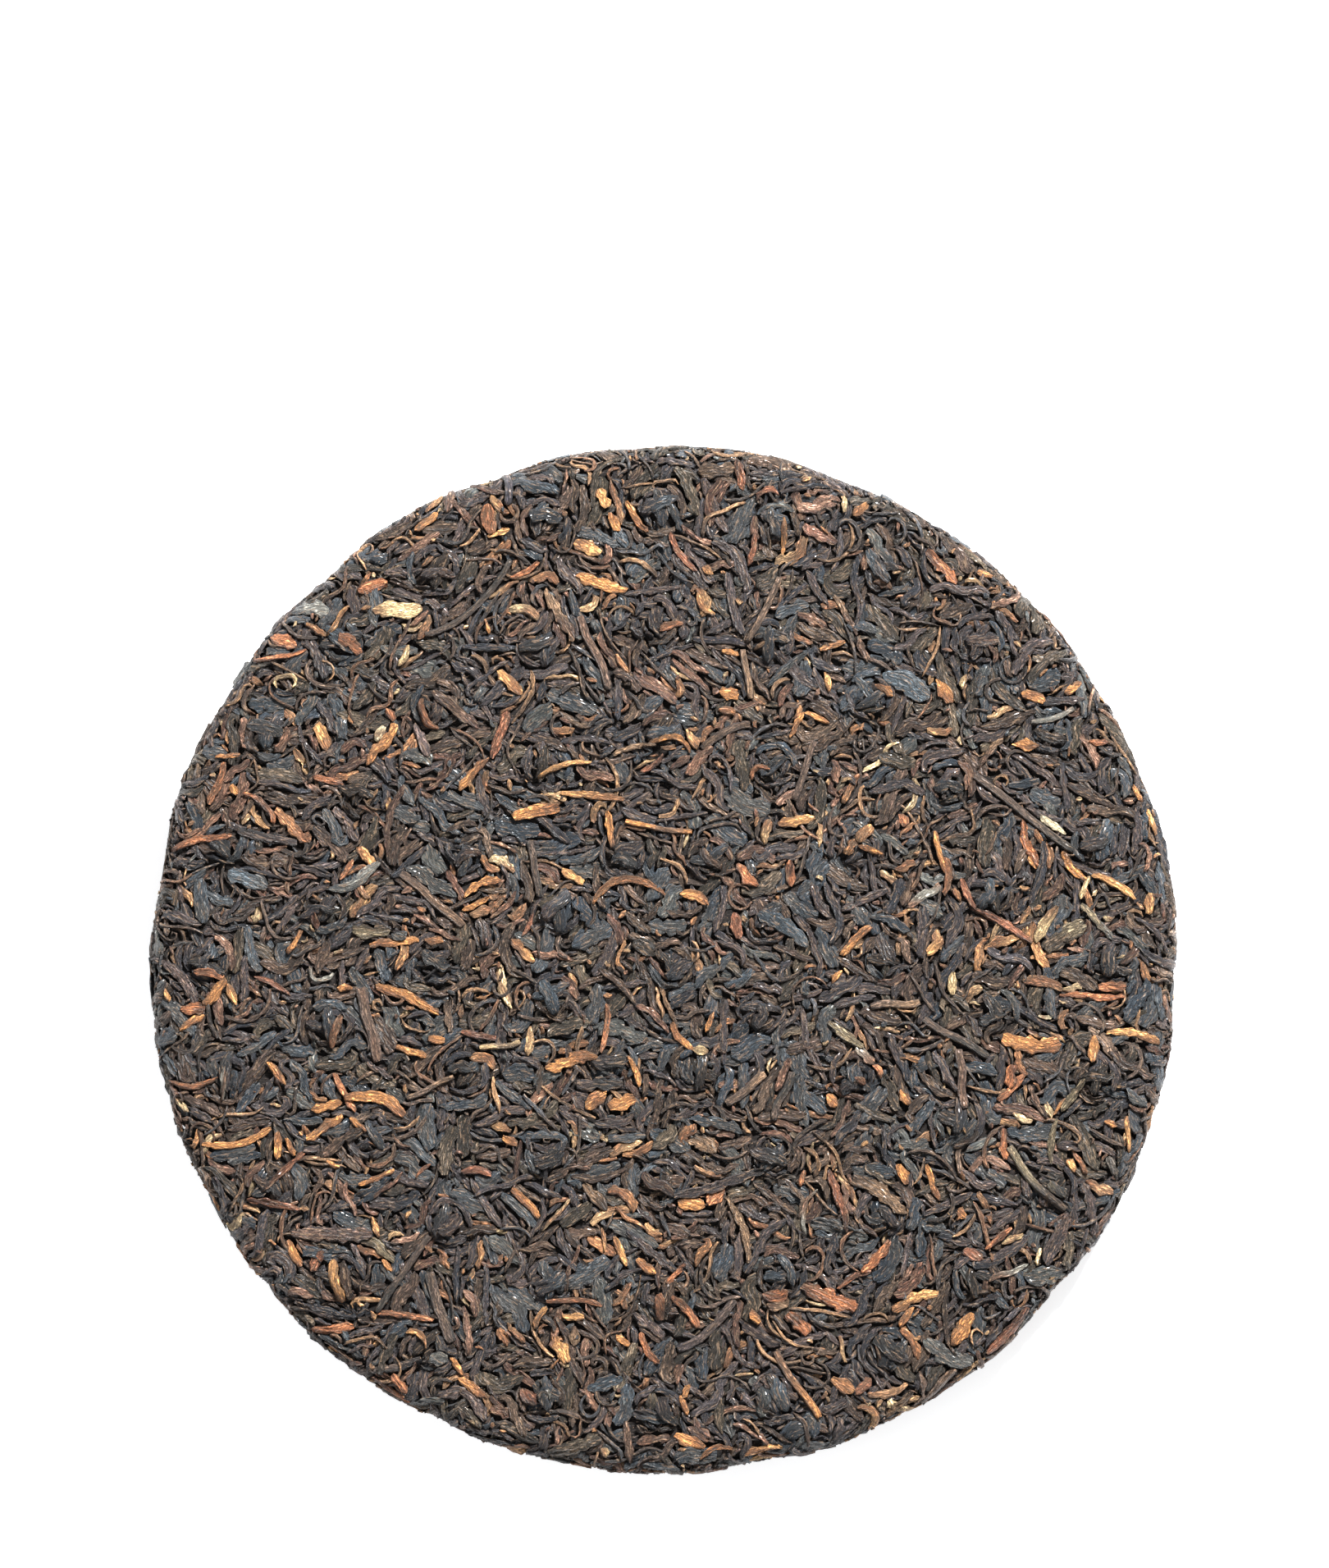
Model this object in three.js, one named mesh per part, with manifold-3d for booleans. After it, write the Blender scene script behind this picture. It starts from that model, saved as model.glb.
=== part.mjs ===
// A ripe pu-erh tea cake: a round, flat cake of fermented tea leaves, steamed and pressed
// between two metal plates. One plate has vent holes, and each hole leaves a low nub on the
// face. The leaves stay whole, so the skin of the cake is a crust of flattened leaves that lie
// in all directions, with dark gaps between them.
//
// Millimetres, +Z up. The nubbed face is up, and the back rests on Z = 0.
import * as THREE from 'three';
import { ConvexHull } from 'three/addons/math/ConvexHull.js';
import { mergeVertices } from 'three/addons/utils/BufferGeometryUtils.js';
import Module from 'manifold-3d';

// Driving dimensions of the pressed cake.
const DIAMETER = 200;
const THICKNESS = 16; // from the back to the flat of the face, without the nubs
const FACE_SHOULDER = 5; // radius of the rounded edge of the face
const BACK_SHOULDER = 4;
const WAIST = THICKNESS / 2; // the height at which the face's crust meets the back's

// The rim isn't cut, so it waves: [waves round the cake, depth, phase in degrees].
const RIM_WAVES = [
  [3, 0.2, 90],
  [10, 0.2, -120],
  [17, 0.2, 125],
  [19, 0.2, -125],
  [29, 0.15, -75],
];

// The nubs stand on rings that are one step apart, and the plate sat slightly off centre.
const NUB_RADIUS = 4.4;
const NUB_HEIGHT = 1.8;
const CURL = 1.12; // reach of the leaves curled round a nub's foot, in nub radii
const NUB_RING_STEP = 21.9;
const NUB_RINGS = [
  { count: 8, phase: -26 },
  { count: 12, phase: 0 },
  { count: 18, phase: -8.8 },
  { count: 24, phase: 0 },
];
const NUB_CENTRE = new THREE.Vector2(-0.8, 0.3);
const MIDDLE_NUB = new THREE.Vector2(2.2, -1.1);

// The crust. A leaf is a row of points along its ridge, a pace apart, and keeps its room to the
// other leaves. The gaps run midway between the ridges. The back's plate is plain and presses
// broader leaves on to one plane.
const FACE_CRUST = { side: 1, spots: 3000, room: 3.4, pace: 5.2 };
const BACK_CRUST = { side: -1, spots: 1200, room: 6.0, pace: 8.5 };
const LEAF_POINTS = [4, 3, 2, 1]; // the largest leaves are laid first
const LEAF_SHARES = [0.25, 0.5, 0.85, 1]; // of the spots, up to each of those sizes
const MOST_BEND = 0.35; // radians from one pace to the next
const HEADINGS_TRIED = 9;
const GAP_DEPTH = 1.0;
const SHALLOW = 0.35; // share of that depth on a nub, and in the crook of a bent leaf
const UNEVEN = { 1: 0.2, '-1': 0 }; // how much lower than the plate some ridges lie
const DROOP = 0.2; // how much lower the ends of a leaf lie

// Long twigs and broad leaves that catch the eye: middle, heading in degrees, length, bend.
const LONG_TWIGS = [
  { x: 69.6, y: 28.6, heading: -37, length: 25, bend: 0.1 },
  { x: 17.4, y: 62.5, heading: -76, length: 23, bend: 0.9 },
  { x: -39.0, y: 70.0, heading: 42, length: 21, bend: -0.6 },
  { x: -50.7, y: -61.0, heading: -62, length: 17, bend: 0.2 },
  { x: -58.0, y: -13.0, heading: -76, length: 14, bend: 0.2 },
  { x: 64.0, y: 9.4, heading: -42, length: 19, bend: -0.7 },
];
const BROAD_LEAVES = [
  { x: -63.7, y: -52.0, heading: 0, length: 19, bend: 0.4 },
  { x: 42.2, y: -44.0, heading: -30, length: 12, bend: 0.5 },
  { x: 78.0, y: 4.2, heading: 20, length: 12, bend: 0.2 },
  { x: -8.0, y: 14.9, heading: 8, length: 14, bend: 1.1 },
];
const BED = 1.2; // how far the foot of a fused twig is sunk below the skin
const PROUD = 0.15; // how far its top stands above the crust
const TWIG = { width: 2.6, crown: 0.45, steps: 4 };
const BROAD_LEAF = { width: 6, crown: 0.75, steps: 3 };

const GOLDEN_ANGLE = Math.PI * (3 - Math.sqrt(5));
const SEED = 357;
const radians = THREE.MathUtils.degToRad;
const lerp = THREE.MathUtils.lerp;

// A seeded draw, so that the cake comes out the same each time.
let drawState = SEED;
function draw(low, high) {
  drawState = (drawState + 0x6d2b79f5) | 0;
  let t = Math.imul(drawState ^ (drawState >>> 15), 1 | drawState);
  t = (t + Math.imul(t ^ (t >>> 7), 61 | t)) ^ t;
  return low + ((t ^ (t >>> 14)) >>> 0) / 2 ** 32 * (high - low);
}

function rimRadius(angle) {
  const wave = ([count, depth, phase]) => depth * Math.cos(count * angle + radians(phase));
  return DIAMETER / 2 + RIM_WAVES.reduce((sum, row) => sum + wave(row), 0);
}

const polar = (reach, angle) => new THREE.Vector2(reach * Math.cos(angle), reach * Math.sin(angle));

const NUBS = [NUB_CENTRE.clone().add(MIDDLE_NUB)];
NUB_RINGS.forEach(({ count, phase }, ring) => {
  for (let i = 0; i < count; i += 1) {
    const angle = radians(phase) + (2 * Math.PI * i) / count;
    NUBS.push(polar(NUB_RING_STEP * (ring + 1), angle).add(NUB_CENTRE));
  }
});

// How far the nubs lift the face at a point.
function nubLift(x, y) {
  let lift = 0;
  for (const nub of NUBS) {
    const reach = Math.hypot(x - nub.x, y - nub.y) / (NUB_RADIUS * 1.15);
    if (reach < 1) lift = Math.max(lift, NUB_HEIGHT * Math.cos((reach * Math.PI) / 2) ** 1.2);
  }
  return lift;
}

// The skin of the cake is laid out flat, as a face and a back that meet at the waist: (x, y) is
// a place on one of them, and what lies past its flat is bent round the shoulder and along the
// side, up to WAIST_REACH. lift is the height above the pressed skin.
const SIDE_REACH = (FACE_SHOULDER * Math.PI) / 2 + WAIST - FACE_SHOULDER;
const WAIST_REACH = DIAMETER / 2 - FACE_SHOULDER + SIDE_REACH;
function onSkin(side, x, y, lift) {
  const angle = Math.atan2(y, x);
  const reach = Math.hypot(x, y);
  const shoulder = side > 0 ? FACE_SHOULDER : BACK_SHOULDER;
  const flat = rimRadius(angle) - shoulder;
  const bendEnd = flat + (shoulder * Math.PI) / 2;
  const turn = THREE.MathUtils.clamp((reach - flat) / shoulder, 0, Math.PI / 2);
  const down = Math.max(0, (reach - bendEnd) / (WAIST_REACH - bendEnd)) * (WAIST - shoulder);
  const radius = Math.min(reach, flat) + (shoulder + lift) * Math.sin(turn);
  const drop = shoulder - (shoulder + lift) * Math.cos(turn) + down;
  const z = side > 0 ? THICKNESS - drop + nubLift(x, y) : drop;
  return new THREE.Vector3(radius * Math.cos(angle), radius * Math.sin(angle), z);
}

// The face and the back, laid out flat, are also the two halves of a ball, joined at the waist.
function onBall(side, x, y) {
  const tilt = 2 * Math.atan(Math.hypot(x, y) / WAIST_REACH);
  const angle = Math.atan2(y, x);
  const across = Math.sin(tilt);
  return new THREE.Vector3(across * Math.cos(angle), across * Math.sin(angle), side * Math.cos(tilt));
}

function offBall({ x, y, z }) {
  const side = z < 0 ? -1 : 1;
  const tilt = Math.atan2(Math.hypot(x, y), Math.abs(z));
  return { side, place: polar(WAIST_REACH * Math.tan(tilt / 2), Math.atan2(y, x)) };
}

// Lays the leaves. crust holds their points, and rows holds each leaf's points by side.
const crust = [];
const rows = { 1: [], '-1': [] };
function layLeaf(side, row) {
  row.forEach(({ x, y }, step) => {
    const droop = step === 0 || step === row.length - 1 ? DROOP : 0;
    crust.push({ side, x, y, row, step, sunk: draw(0, UNEVEN[side]) + droop });
  });
  rows[side].push(row);
}

function leafRow(spot, heading, bend, count, pace) {
  const row = [];
  let at = spot.clone().sub(polar((pace * (count - 1)) / 2, heading));
  for (let step = 0; step < count; step += 1) {
    row.push(at.clone());
    at = at.add(polar(pace, heading + bend * (step - count / 2 + 1)));
  }
  return row;
}

// A nub has one leaf on top and three curled round its foot.
function layNubs() {
  for (const nub of NUBS) {
    layLeaf(1, [nub]);
    const start = draw(0, 2 * Math.PI);
    const foot = (i) => nub.clone().add(polar(NUB_RADIUS * CURL, start + (i * Math.PI) / 3));
    [[0, 1], [2, 3], [4, 5]].forEach((pair) => layLeaf(1, pair.map(foot)));
  }
}

function gapToSegment(at, a, b) {
  const along = b.clone().sub(a);
  const share = along.lengthSq() ? at.clone().sub(a).dot(along) / along.lengthSq() : 0;
  return at.distanceTo(a.clone().lerp(b, THREE.MathUtils.clamp(share, 0, 1)));
}

// The spots of a golden-angle spiral are spread evenly. A leaf is laid across a spot where one
// of the headings tried leaves it room.
function layCrust({ side, spots, room, pace }) {
  const clear = (at, row) => row[0].distanceTo(at) > room + pace * row.length
    || row.every((end, i) => gapToSegment(at, row[Math.max(0, i - 1)], end) > room);
  const free = (at) => at.length() < WAIST_REACH - room / 3 && rows[side].every((row) => clear(at, row));
  const order = Array.from({ length: spots }, (_, i) => ({ i, rank: draw(0, 1) }));
  for (const { i, rank } of order.sort((a, b) => a.rank - b.rank)) {
    const spot = polar(WAIST_REACH * Math.sqrt((i + 0.5) / spots), i * GOLDEN_ANGLE);
    const count = LEAF_POINTS[LEAF_SHARES.findIndex((share) => rank <= share)];
    for (let n = 0; n < HEADINGS_TRIED; n += 1) {
      const bend = draw(-MOST_BEND, MOST_BEND);
      const row = leafRow(spot, draw(0, 2 * Math.PI), bend, count, pace);
      const middles = row.slice(1).map((at, k) => at.clone().lerp(row[k], 0.5));
      if ([...row, ...middles].every(free)) {
        layLeaf(side, row);
        break;
      }
    }
  }
}

// A flat pad in the middle of the back comes first, on the plane that the cake rests on.
layLeaf(-1, [new THREE.Vector2(0, 0)]);
const [middlePad] = crust;
middlePad.sunk = 0;
layCrust(BACK_CRUST);
layNubs();
layCrust(FACE_CRUST);

function gapDepth(corners, side, place) {
  if (corners.includes(middlePad)) return 0;
  const crook = corners.every(({ row }) => row === corners[0].row);
  const onNub = side > 0 && nubLift(place.x, place.y) > NUB_HEIGHT / 5;
  return GAP_DEPTH * (crook || onNub ? SHALLOW : draw(0.75, 1.1));
}

// The skin's triangles. Three neighbouring points make a face of the ball's hull, and the gaps
// between them meet at its middle, which is equally far from all three. Between two points of
// one leaf its ridge runs on, and elsewhere the skin drops from each point to the gap.
function crustSolid() {
  const balls = crust.map(({ side, x, y }, i) => Object.assign(onBall(side, x, y), { i }));
  const hull = new ConvexHull().setFromPoints(balls);
  const points = crust.map(({ side, x, y, sunk }) => onSkin(side, x, y, -sunk));
  for (const face of hull.faces) {
    const corners = [face.edge.prev, face.edge, face.edge.next].map(({ vertex }) => crust[vertex.point.i]);
    const { side, place } = offBall(face.normal);
    face.gap = points.length;
    points.push(onSkin(side, place.x, place.y, -gapDepth(corners, side, place)));
  }
  const index = [];
  for (const face of hull.faces) {
    for (const edge of [face.edge.prev, face.edge, face.edge.next]) {
      const p = edge.prev.vertex.point;
      const q = edge.vertex.point;
      if (p.i > q.i) continue;
      const left = face.gap;
      const right = edge.twin.face.gap;
      const fence = new THREE.Vector3().crossVectors(p, q);
      const astride = fence.dot(face.normal) > 0 && fence.dot(edge.twin.face.normal) < 0;
      const ridge = crust[p.i].row === crust[q.i].row
        && Math.abs(crust[p.i].step - crust[q.i].step) === 1;
      if (ridge && astride) {
        index.push(p.i, q.i, left, q.i, p.i, right);
      } else {
        index.push(p.i, right, left, q.i, left, right);
      }
    }
  }
  return { points, index };
}

// Joins rows of points into a closed solid: each row is a closed loop with the same number of
// points, and the first and last rows are closed with fans.
function solidFromLoops(loops) {
  const points = loops.flat();
  const sides = loops[0].length;
  const index = [];
  for (let row = 0; row + 1 < loops.length; row += 1) {
    for (let i = 0; i < sides; i += 1) {
      const a = row * sides + i;
      const b = row * sides + ((i + 1) % sides);
      index.push(a, b, b + sides, a, b + sides, a + sides);
    }
  }
  const last = (loops.length - 1) * sides;
  for (let i = 1; i + 1 < sides; i += 1) {
    index.push(0, i + 1, i, last, last + i, last + i + 1);
  }
  return { points, index };
}

// A twig or a broad leaf that lies on the crust: a bent strip that tapers to its ends, with
// its foot sunk in the crust. crown is the share of its width that is flat on top.
function stripSolid({ x, y, heading, length, bend, width, crown, steps }) {
  const path = [{ x: 0, y: 0, along: radians(heading) - bend / 2 }];
  for (let i = 0; i < steps; i += 1) {
    const { x: px, y: py, along } = path[i];
    const middle = along + bend / steps / 2;
    path.push({
      x: px + (Math.cos(middle) * length) / steps,
      y: py + (Math.sin(middle) * length) / steps,
      along: along + bend / steps,
    });
  }
  const end = path[steps];
  return solidFromLoops(path.map((station, i) => {
    const half = (width / 2) * lerp(0.4, 1, Math.sin(Math.PI * lerp(0.12, 0.9, i / steps)));
    const place = (across, lift) => onSkin(
      1,
      x - end.x / 2 + station.x - Math.sin(station.along) * across,
      y - end.y / 2 + station.y + Math.cos(station.along) * across,
      lift,
    );
    return [
      place(-half, -BED),
      place(half, -BED),
      place(half * crown, PROUD),
      place(-half * crown, PROUD),
    ];
  }));
}

const wasm = await Module();
wasm.setup();

function toManifold({ points, index }) {
  const geometry = new THREE.BufferGeometry().setFromPoints(points).setIndex(index);
  const merged = mergeVertices(geometry, 1e-4);
  const solid = new wasm.Manifold(new wasm.Mesh({
    numProp: 3,
    vertProperties: new Float32Array(merged.attributes.position.array),
    triVerts: new Uint32Array(merged.index.array),
  }));
  return solid.volume() < 0 ? toManifold({ points, index: index.toReversed() }) : solid;
}

// All are fused. A hollow that fusing seals is filled and a loose scrap is dropped, because
// only the largest shell is kept.
let cake = toManifold(crustSolid());
for (const twig of LONG_TWIGS) cake = cake.add(toManifold(stripSolid({ ...twig, ...TWIG })));
for (const leaf of BROAD_LEAVES) cake = cake.add(toManifold(stripSolid({ ...leaf, ...BROAD_LEAF })));
cake = cake.decompose().reduce((a, b) => (b.volume() > a.volume() ? b : a));

function toGeometry(solid) {
  const mesh = solid.getMesh();
  const geometry = new THREE.BufferGeometry();
  geometry.setAttribute('position', new THREE.BufferAttribute(new Float32Array(mesh.vertProperties), 3));
  geometry.setIndex(new THREE.BufferAttribute(new Uint32Array(mesh.triVerts), 1));
  geometry.computeBoundingBox();
  const middle = geometry.boundingBox.getCenter(new THREE.Vector3());
  geometry.translate(-middle.x, -middle.y, -geometry.boundingBox.min.z);
  geometry.computeVertexNormals();
  return geometry;
}

const pressedTea = new THREE.MeshStandardMaterial({
  color: '#3b2f29', roughness: 0.62, metalness: 0, flatShading: true,
});
const teaCake = new THREE.Mesh(toGeometry(cake), pressedTea);
teaCake.name = 'tea_cake';

const part = new THREE.Group();
part.add(teaCake);

export default part;
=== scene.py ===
# %% [markdown]
# # A ripe pu-erh tea cake
#
# Ripe pu-erh is a dark, fermented tea. Its loose leaves are weighed, steamed until they are soft and
# pressed between two metal plates into a round, flat cake. The leaves stay whole, so the skin of the
# cake is a crust of flattened leaves that lie in all directions and pass over and under each other.
#
# The CAD part gives the size of the cake. Here it is dressed with real leaves: each one is a small
# closed mesh, laid by a seeded draw, pressed flat and tucked under the leaves that were laid before
# it. Lengths are in millimetres until a mesh is made, and the mesh is in metres.

import math

import bpy
import numpy as np
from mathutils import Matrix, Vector


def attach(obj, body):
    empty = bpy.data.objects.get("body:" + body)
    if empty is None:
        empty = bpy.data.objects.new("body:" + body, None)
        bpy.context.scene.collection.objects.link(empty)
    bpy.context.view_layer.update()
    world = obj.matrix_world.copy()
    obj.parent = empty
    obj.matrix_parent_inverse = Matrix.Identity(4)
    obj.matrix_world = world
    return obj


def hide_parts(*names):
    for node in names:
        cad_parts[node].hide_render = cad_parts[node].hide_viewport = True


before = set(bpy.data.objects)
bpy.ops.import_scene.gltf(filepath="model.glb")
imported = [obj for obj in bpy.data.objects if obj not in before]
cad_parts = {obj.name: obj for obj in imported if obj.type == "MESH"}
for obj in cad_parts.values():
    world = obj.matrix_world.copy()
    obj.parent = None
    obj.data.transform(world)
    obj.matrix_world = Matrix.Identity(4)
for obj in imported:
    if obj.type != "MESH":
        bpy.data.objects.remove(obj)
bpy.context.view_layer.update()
rng = np.random.default_rng(357)

# %% [markdown]
# ## The form of the cake
#
# These are the same sizes as in the CAD part. The rim isn't cut, so it waves. One plate has vent
# holes, and each hole leaves a low nub on the face of the cake.

# %% Driving dimensions
DIAMETER = 200.0
THICKNESS = 16.0
FACE_SHOULDER = 5.0
BACK_SHOULDER = 4.0
WAIST = THICKNESS / 2
RIM_WAVES = [(3, 0.2, 90), (10, 0.2, -120), (17, 0.2, 125), (19, 0.2, -125), (29, 0.15, -75)]

NUB_RADIUS = 4.4
NUB_FOOT = NUB_RADIUS * 1.15
NUB_HEIGHT = 1.8
NUB_RING_STEP = 21.9
NUB_RINGS = [(8, -26.0), (12, 0.0), (18, -8.8), (24, 0.0)]
NUB_CENTRE = (-0.8, 0.3)
MIDDLE_NUB = (2.2, -1.1)

# Lengths along the skin: round the face's shoulder to the waist, and from the middle to the waist.
SIDE_REACH = FACE_SHOULDER * math.pi / 2 + WAIST - FACE_SHOULDER
WAIST_REACH = DIAMETER / 2 - FACE_SHOULDER + SIDE_REACH


def place_nubs():
    """The middle of each nub."""
    nubs = [(NUB_CENTRE[0] + MIDDLE_NUB[0], NUB_CENTRE[1] + MIDDLE_NUB[1])]
    for ring, (count, phase) in enumerate(NUB_RINGS, start=1):
        for i in range(count):
            angle = math.radians(phase) + 2 * math.pi * i / count
            nubs.append((
                NUB_CENTRE[0] + NUB_RING_STEP * ring * math.cos(angle),
                NUB_CENTRE[1] + NUB_RING_STEP * ring * math.sin(angle),
            ))
    return np.array(nubs)


NUBS = place_nubs()
print(len(NUBS), "nubs, waist reach", round(WAIST_REACH, 2))

# %% [markdown]
# ## From the laid-out skin to the cake
#
# The skin is worked on laid out flat, as a face and a back that meet at the waist. `on_skin` bends a
# place past the flat round the shoulder and down the side. A lift is a height above the pressed skin.

# %% The skin
def rim_radius(angle):
    """The radius of the waved rim at an angle."""
    waves = [depth * np.cos(count * angle + math.radians(phase)) for count, depth, phase in RIM_WAVES]
    return DIAMETER / 2 + sum(waves)


def nub_lift(x, y):
    """How far the nubs lift the face."""
    lift = np.zeros_like(x)
    for nub_x, nub_y in NUBS:
        near = (np.abs(x - nub_x) < NUB_FOOT) & (np.abs(y - nub_y) < NUB_FOOT)
        reach = np.hypot(x[near] - nub_x, y[near] - nub_y) / NUB_FOOT
        bump = NUB_HEIGHT * np.cos(np.minimum(reach, 1) * math.pi / 2) ** 1.2
        lift[near] = np.maximum(lift[near], bump)
    return lift


def on_skin(side, x, y, lift):
    """Carries laid-out places to the cake. side is 1 for the face and -1 for the back."""
    angle = np.arctan2(y, x)
    reach = np.hypot(x, y)
    shoulder = FACE_SHOULDER if side > 0 else BACK_SHOULDER
    flat = rim_radius(angle) - shoulder
    bend_end = flat + shoulder * math.pi / 2
    turn = np.clip((reach - flat) / shoulder, 0, math.pi / 2)
    down = np.maximum(0, (reach - bend_end) / (WAIST_REACH - bend_end)) * (WAIST - shoulder)
    radius = np.minimum(reach, flat) + (shoulder + lift) * np.sin(turn)
    drop = shoulder - (shoulder + lift) * np.cos(turn) + down
    z = THICKNESS - drop + nub_lift(x, y) if side > 0 else drop
    return np.stack([radius * np.cos(angle), radius * np.sin(angle), z], axis=-1)


# %% [markdown]
# ## Making a mesh
#
# All the leaves of one kind on one side are one mesh. It carries two things for its material: a tone,
# the colour of each point, and a grain, the place along and across the leaf in millimetres.

# %% Mesh maker
def make_mesh(name, points, triangles, tones, grain):
    """A mesh in metres from points in millimetres, with its tones and its grain."""
    mesh = bpy.data.meshes.new(name)
    corners = triangles.astype(np.int32).ravel()
    mesh.vertices.add(len(points))
    mesh.vertices.foreach_set("co", (points / 1000).astype(np.float32).ravel())
    mesh.loops.add(len(corners))
    mesh.loops.foreach_set("vertex_index", corners)
    mesh.polygons.add(len(triangles))
    mesh.polygons.foreach_set("loop_start", np.arange(0, len(corners), 3, dtype=np.int32))
    mesh.polygons.foreach_set("use_smooth", np.ones(len(triangles), dtype=bool))
    mesh.update()
    rgba = np.concatenate([tones, np.ones((len(tones), 1))], axis=1)
    layer = mesh.color_attributes.new("tone", "FLOAT_COLOR", "POINT")
    layer.data.foreach_set("color", rgba.astype(np.float32).ravel())
    grain_map = mesh.uv_layers.new(name="grain")
    grain_map.data.foreach_set("uv", grain[corners].astype(np.float32).ravel())
    piece = bpy.data.objects.new(name, mesh)
    bpy.context.collection.objects.link(piece)
    return piece


def linear(hexcode):
    """An sRGB colour such as #3a2d27 as linear red, green and blue."""
    channels = np.array([int(hexcode[i:i + 2], 16) for i in (1, 3, 5)]) / 255
    return np.where(channels <= 0.04045, channels / 12.92, ((channels + 0.055) / 1.055) ** 2.4)


# %% [markdown]
# ## The kinds of leaf
#
# Most leaves are charcoal or dark brown and rolled into thin strips. Flat scraps of older leaf are slate
# grey: dark leaf with a painted reflection of cool light in its colour. Some leaves are russet, the buds
# dry to gold, curled strands are torn leaf edges, and a few twigs are left in. Lengths and widths are in
# millimetres. thick is the height of a leaf's pillow, fold is the space between its lengthwise folds and
# deep is their depth. shade is the colour that part of each leaf turns to.

# %% Kinds
KINDS = {
    "charcoal_leaf": {
        "length": (5.0, 14.0), "width": (1.0, 2.4), "thick": 0.8, "fold": 0.85, "deep": 0.5,
        "bend": 0.6, "colours": ["#3b3637", "#48403f", "#2d2c2f", "#574842"],
        "shade": "#52443e",
    },
    "olive_leaf": {
        "length": (5.0, 12.0), "width": (1.3, 3.3), "thick": 0.6, "fold": 0.9, "deep": 0.5,
        "bend": 0.7, "colours": ["#4f463b", "#5c5043", "#433b34", "#6e604f"],
        "shade": "#3a342f",
    },
    # Slate leaves are dark leaf whose blue-grey colours hold a painted reflection of cool light.
    "slate_leaf": {
        "length": (5.0, 11.0), "width": (1.6, 3.9), "thick": 0.55, "fold": 1.0, "deep": 0.38,
        "bend": 0.4, "colours": ["#393f43", "#464a4c", "#32373b", "#55554f"],
        "shade": "#4b4945",
    },
    "brown_leaf": {
        "length": (5.0, 13.0), "width": (1.1, 2.7), "thick": 0.65, "fold": 0.85, "deep": 0.5,
        "bend": 0.6, "colours": ["#5a483e", "#4f3f37", "#655043", "#705c4d"],
        "shade": "#3b302a",
    },
    "russet_leaf": {
        "length": (4.0, 11.0), "width": (0.9, 2.3), "thick": 0.55, "fold": 0.9, "deep": 0.4,
        "bend": 0.8, "colours": ["#7c5a49", "#8c6651", "#6b4a3c", "#98735f"],
        "shade": "#4a342c",
    },
    "golden_bud": {
        "length": (3.2, 10.0), "width": (0.8, 2.2), "thick": 0.55, "fold": 0.85, "deep": 0.35,
        "bend": 0.9, "colours": ["#bd8d5e", "#aa744c", "#c89f72", "#9d7452", "#d2b488", "#b37e52"],
        "shade": "#7a4d33",
    },
    "curled_strand": {
        "length": (5.0, 13.0), "width": (0.6, 1.1), "thick": 0.6, "fold": 0.8, "deep": 0.1,
        "bend": 2.2, "colours": ["#55463d", "#75543f", "#3a3431", "#a07a58", "#46474a"],
        "shade": "#453830",
    },
    "tea_twig": {
        "length": (8.0, 19.0), "width": (1.2, 1.8), "thick": 0.85, "fold": 0.9, "deep": 0.1,
        "bend": 0.5, "colours": ["#37343a", "#473c37", "#2e2c2d", "#5d4838"],
        "shade": "#5c4c42",
    },
}
SHARES = {
    "charcoal_leaf": 0.27, "olive_leaf": 0.11, "slate_leaf": 0.17, "brown_leaf": 0.15,
    "russet_leaf": 0.09, "golden_bud": 0.08, "curled_strand": 0.12, "tea_twig": 0.01,
}
PALETTES = {kind: np.array([linear(c) for c in row["colours"]]) for kind, row in KINDS.items()}

# %% [markdown]
# ## Pressing the leaves
#
# A bed is the laid-out skin of one side in small cells. Each cell knows how low the underside of the
# leaves on it is. The first leaves lie at the pressed plane. A later leaf lies at the plane where
# nothing covers it, and dives under the leaves that do.

# %% A bed
CELL = 0.3
SPARE_CELLS = 12
HALF = int(WAIST_REACH / CELL) + SPARE_CELLS
# The gap between two leaves, the lowest that a leaf dives, and the share of a leaf's thickness that
# holds the next leaf down.
CLEARANCE = 0.06
DEEPEST = -2.4
BULK = 0.85


def new_bed(side):
    """An empty bed. side is 1 for the face and -1 for the back."""
    axis = (np.arange(2 * HALF) - HALF + 0.5) * CELL
    inside = np.hypot(axis[:, None], axis[None, :]) < WAIST_REACH + CELL
    under = np.full((2 * HALF, 2 * HALF), np.inf)
    return {"side": side, "under": under, "inside": inside, "leaves": {kind: [] for kind in KINDS}}


def cells(x, y):
    """The row and the column of each place's cell."""
    return (
        np.clip((x / CELL + HALF).astype(int), 0, 2 * HALF - 1),
        np.clip((y / CELL + HALF).astype(int), 0, 2 * HALF - 1),
    )


def holes(bed):
    """Bare cells with bare cells all round. A thinner gap between two leaves may stay."""
    bare = np.isinf(bed["under"]) & bed["inside"]
    inner = bare.copy()
    for axis in (0, 1):
        inner &= np.roll(bare, 1, axis) & np.roll(bare, -1, axis)
    return inner


# %% [markdown]
# ## The shape of a leaf
#
# A dried leaf is a strip that bends, sways and sometimes hooks at its end, with uneven edges where it
# was torn or rolled. So a leaf is drawn as a middle line and two edges, on which any lattice of
# places can be laid: one that marks the cells that the leaf covers, and one for its mesh.

# %% The shape of a leaf
# The spacing of the places that mark cells, and how far they go towards a leaf's edge.
FOOTPRINT_PACE = 0.42
FOOTPRINT_EDGE = 0.9
# The spacing of a mesh's rows along a leaf, on each side of the cake.
FACE_PACE = 0.95
BACK_PACE = 1.8


def ragged(leaf, along, row):
    """An uneven edge, from -1 to 1: three waves with phases of the leaf's own."""
    phases = leaf["phases"][row]
    return sum(np.sin(along * pitch + phases[i]) for i, pitch in enumerate((1.3, 2.6, 4.5))) / 2.4


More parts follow.
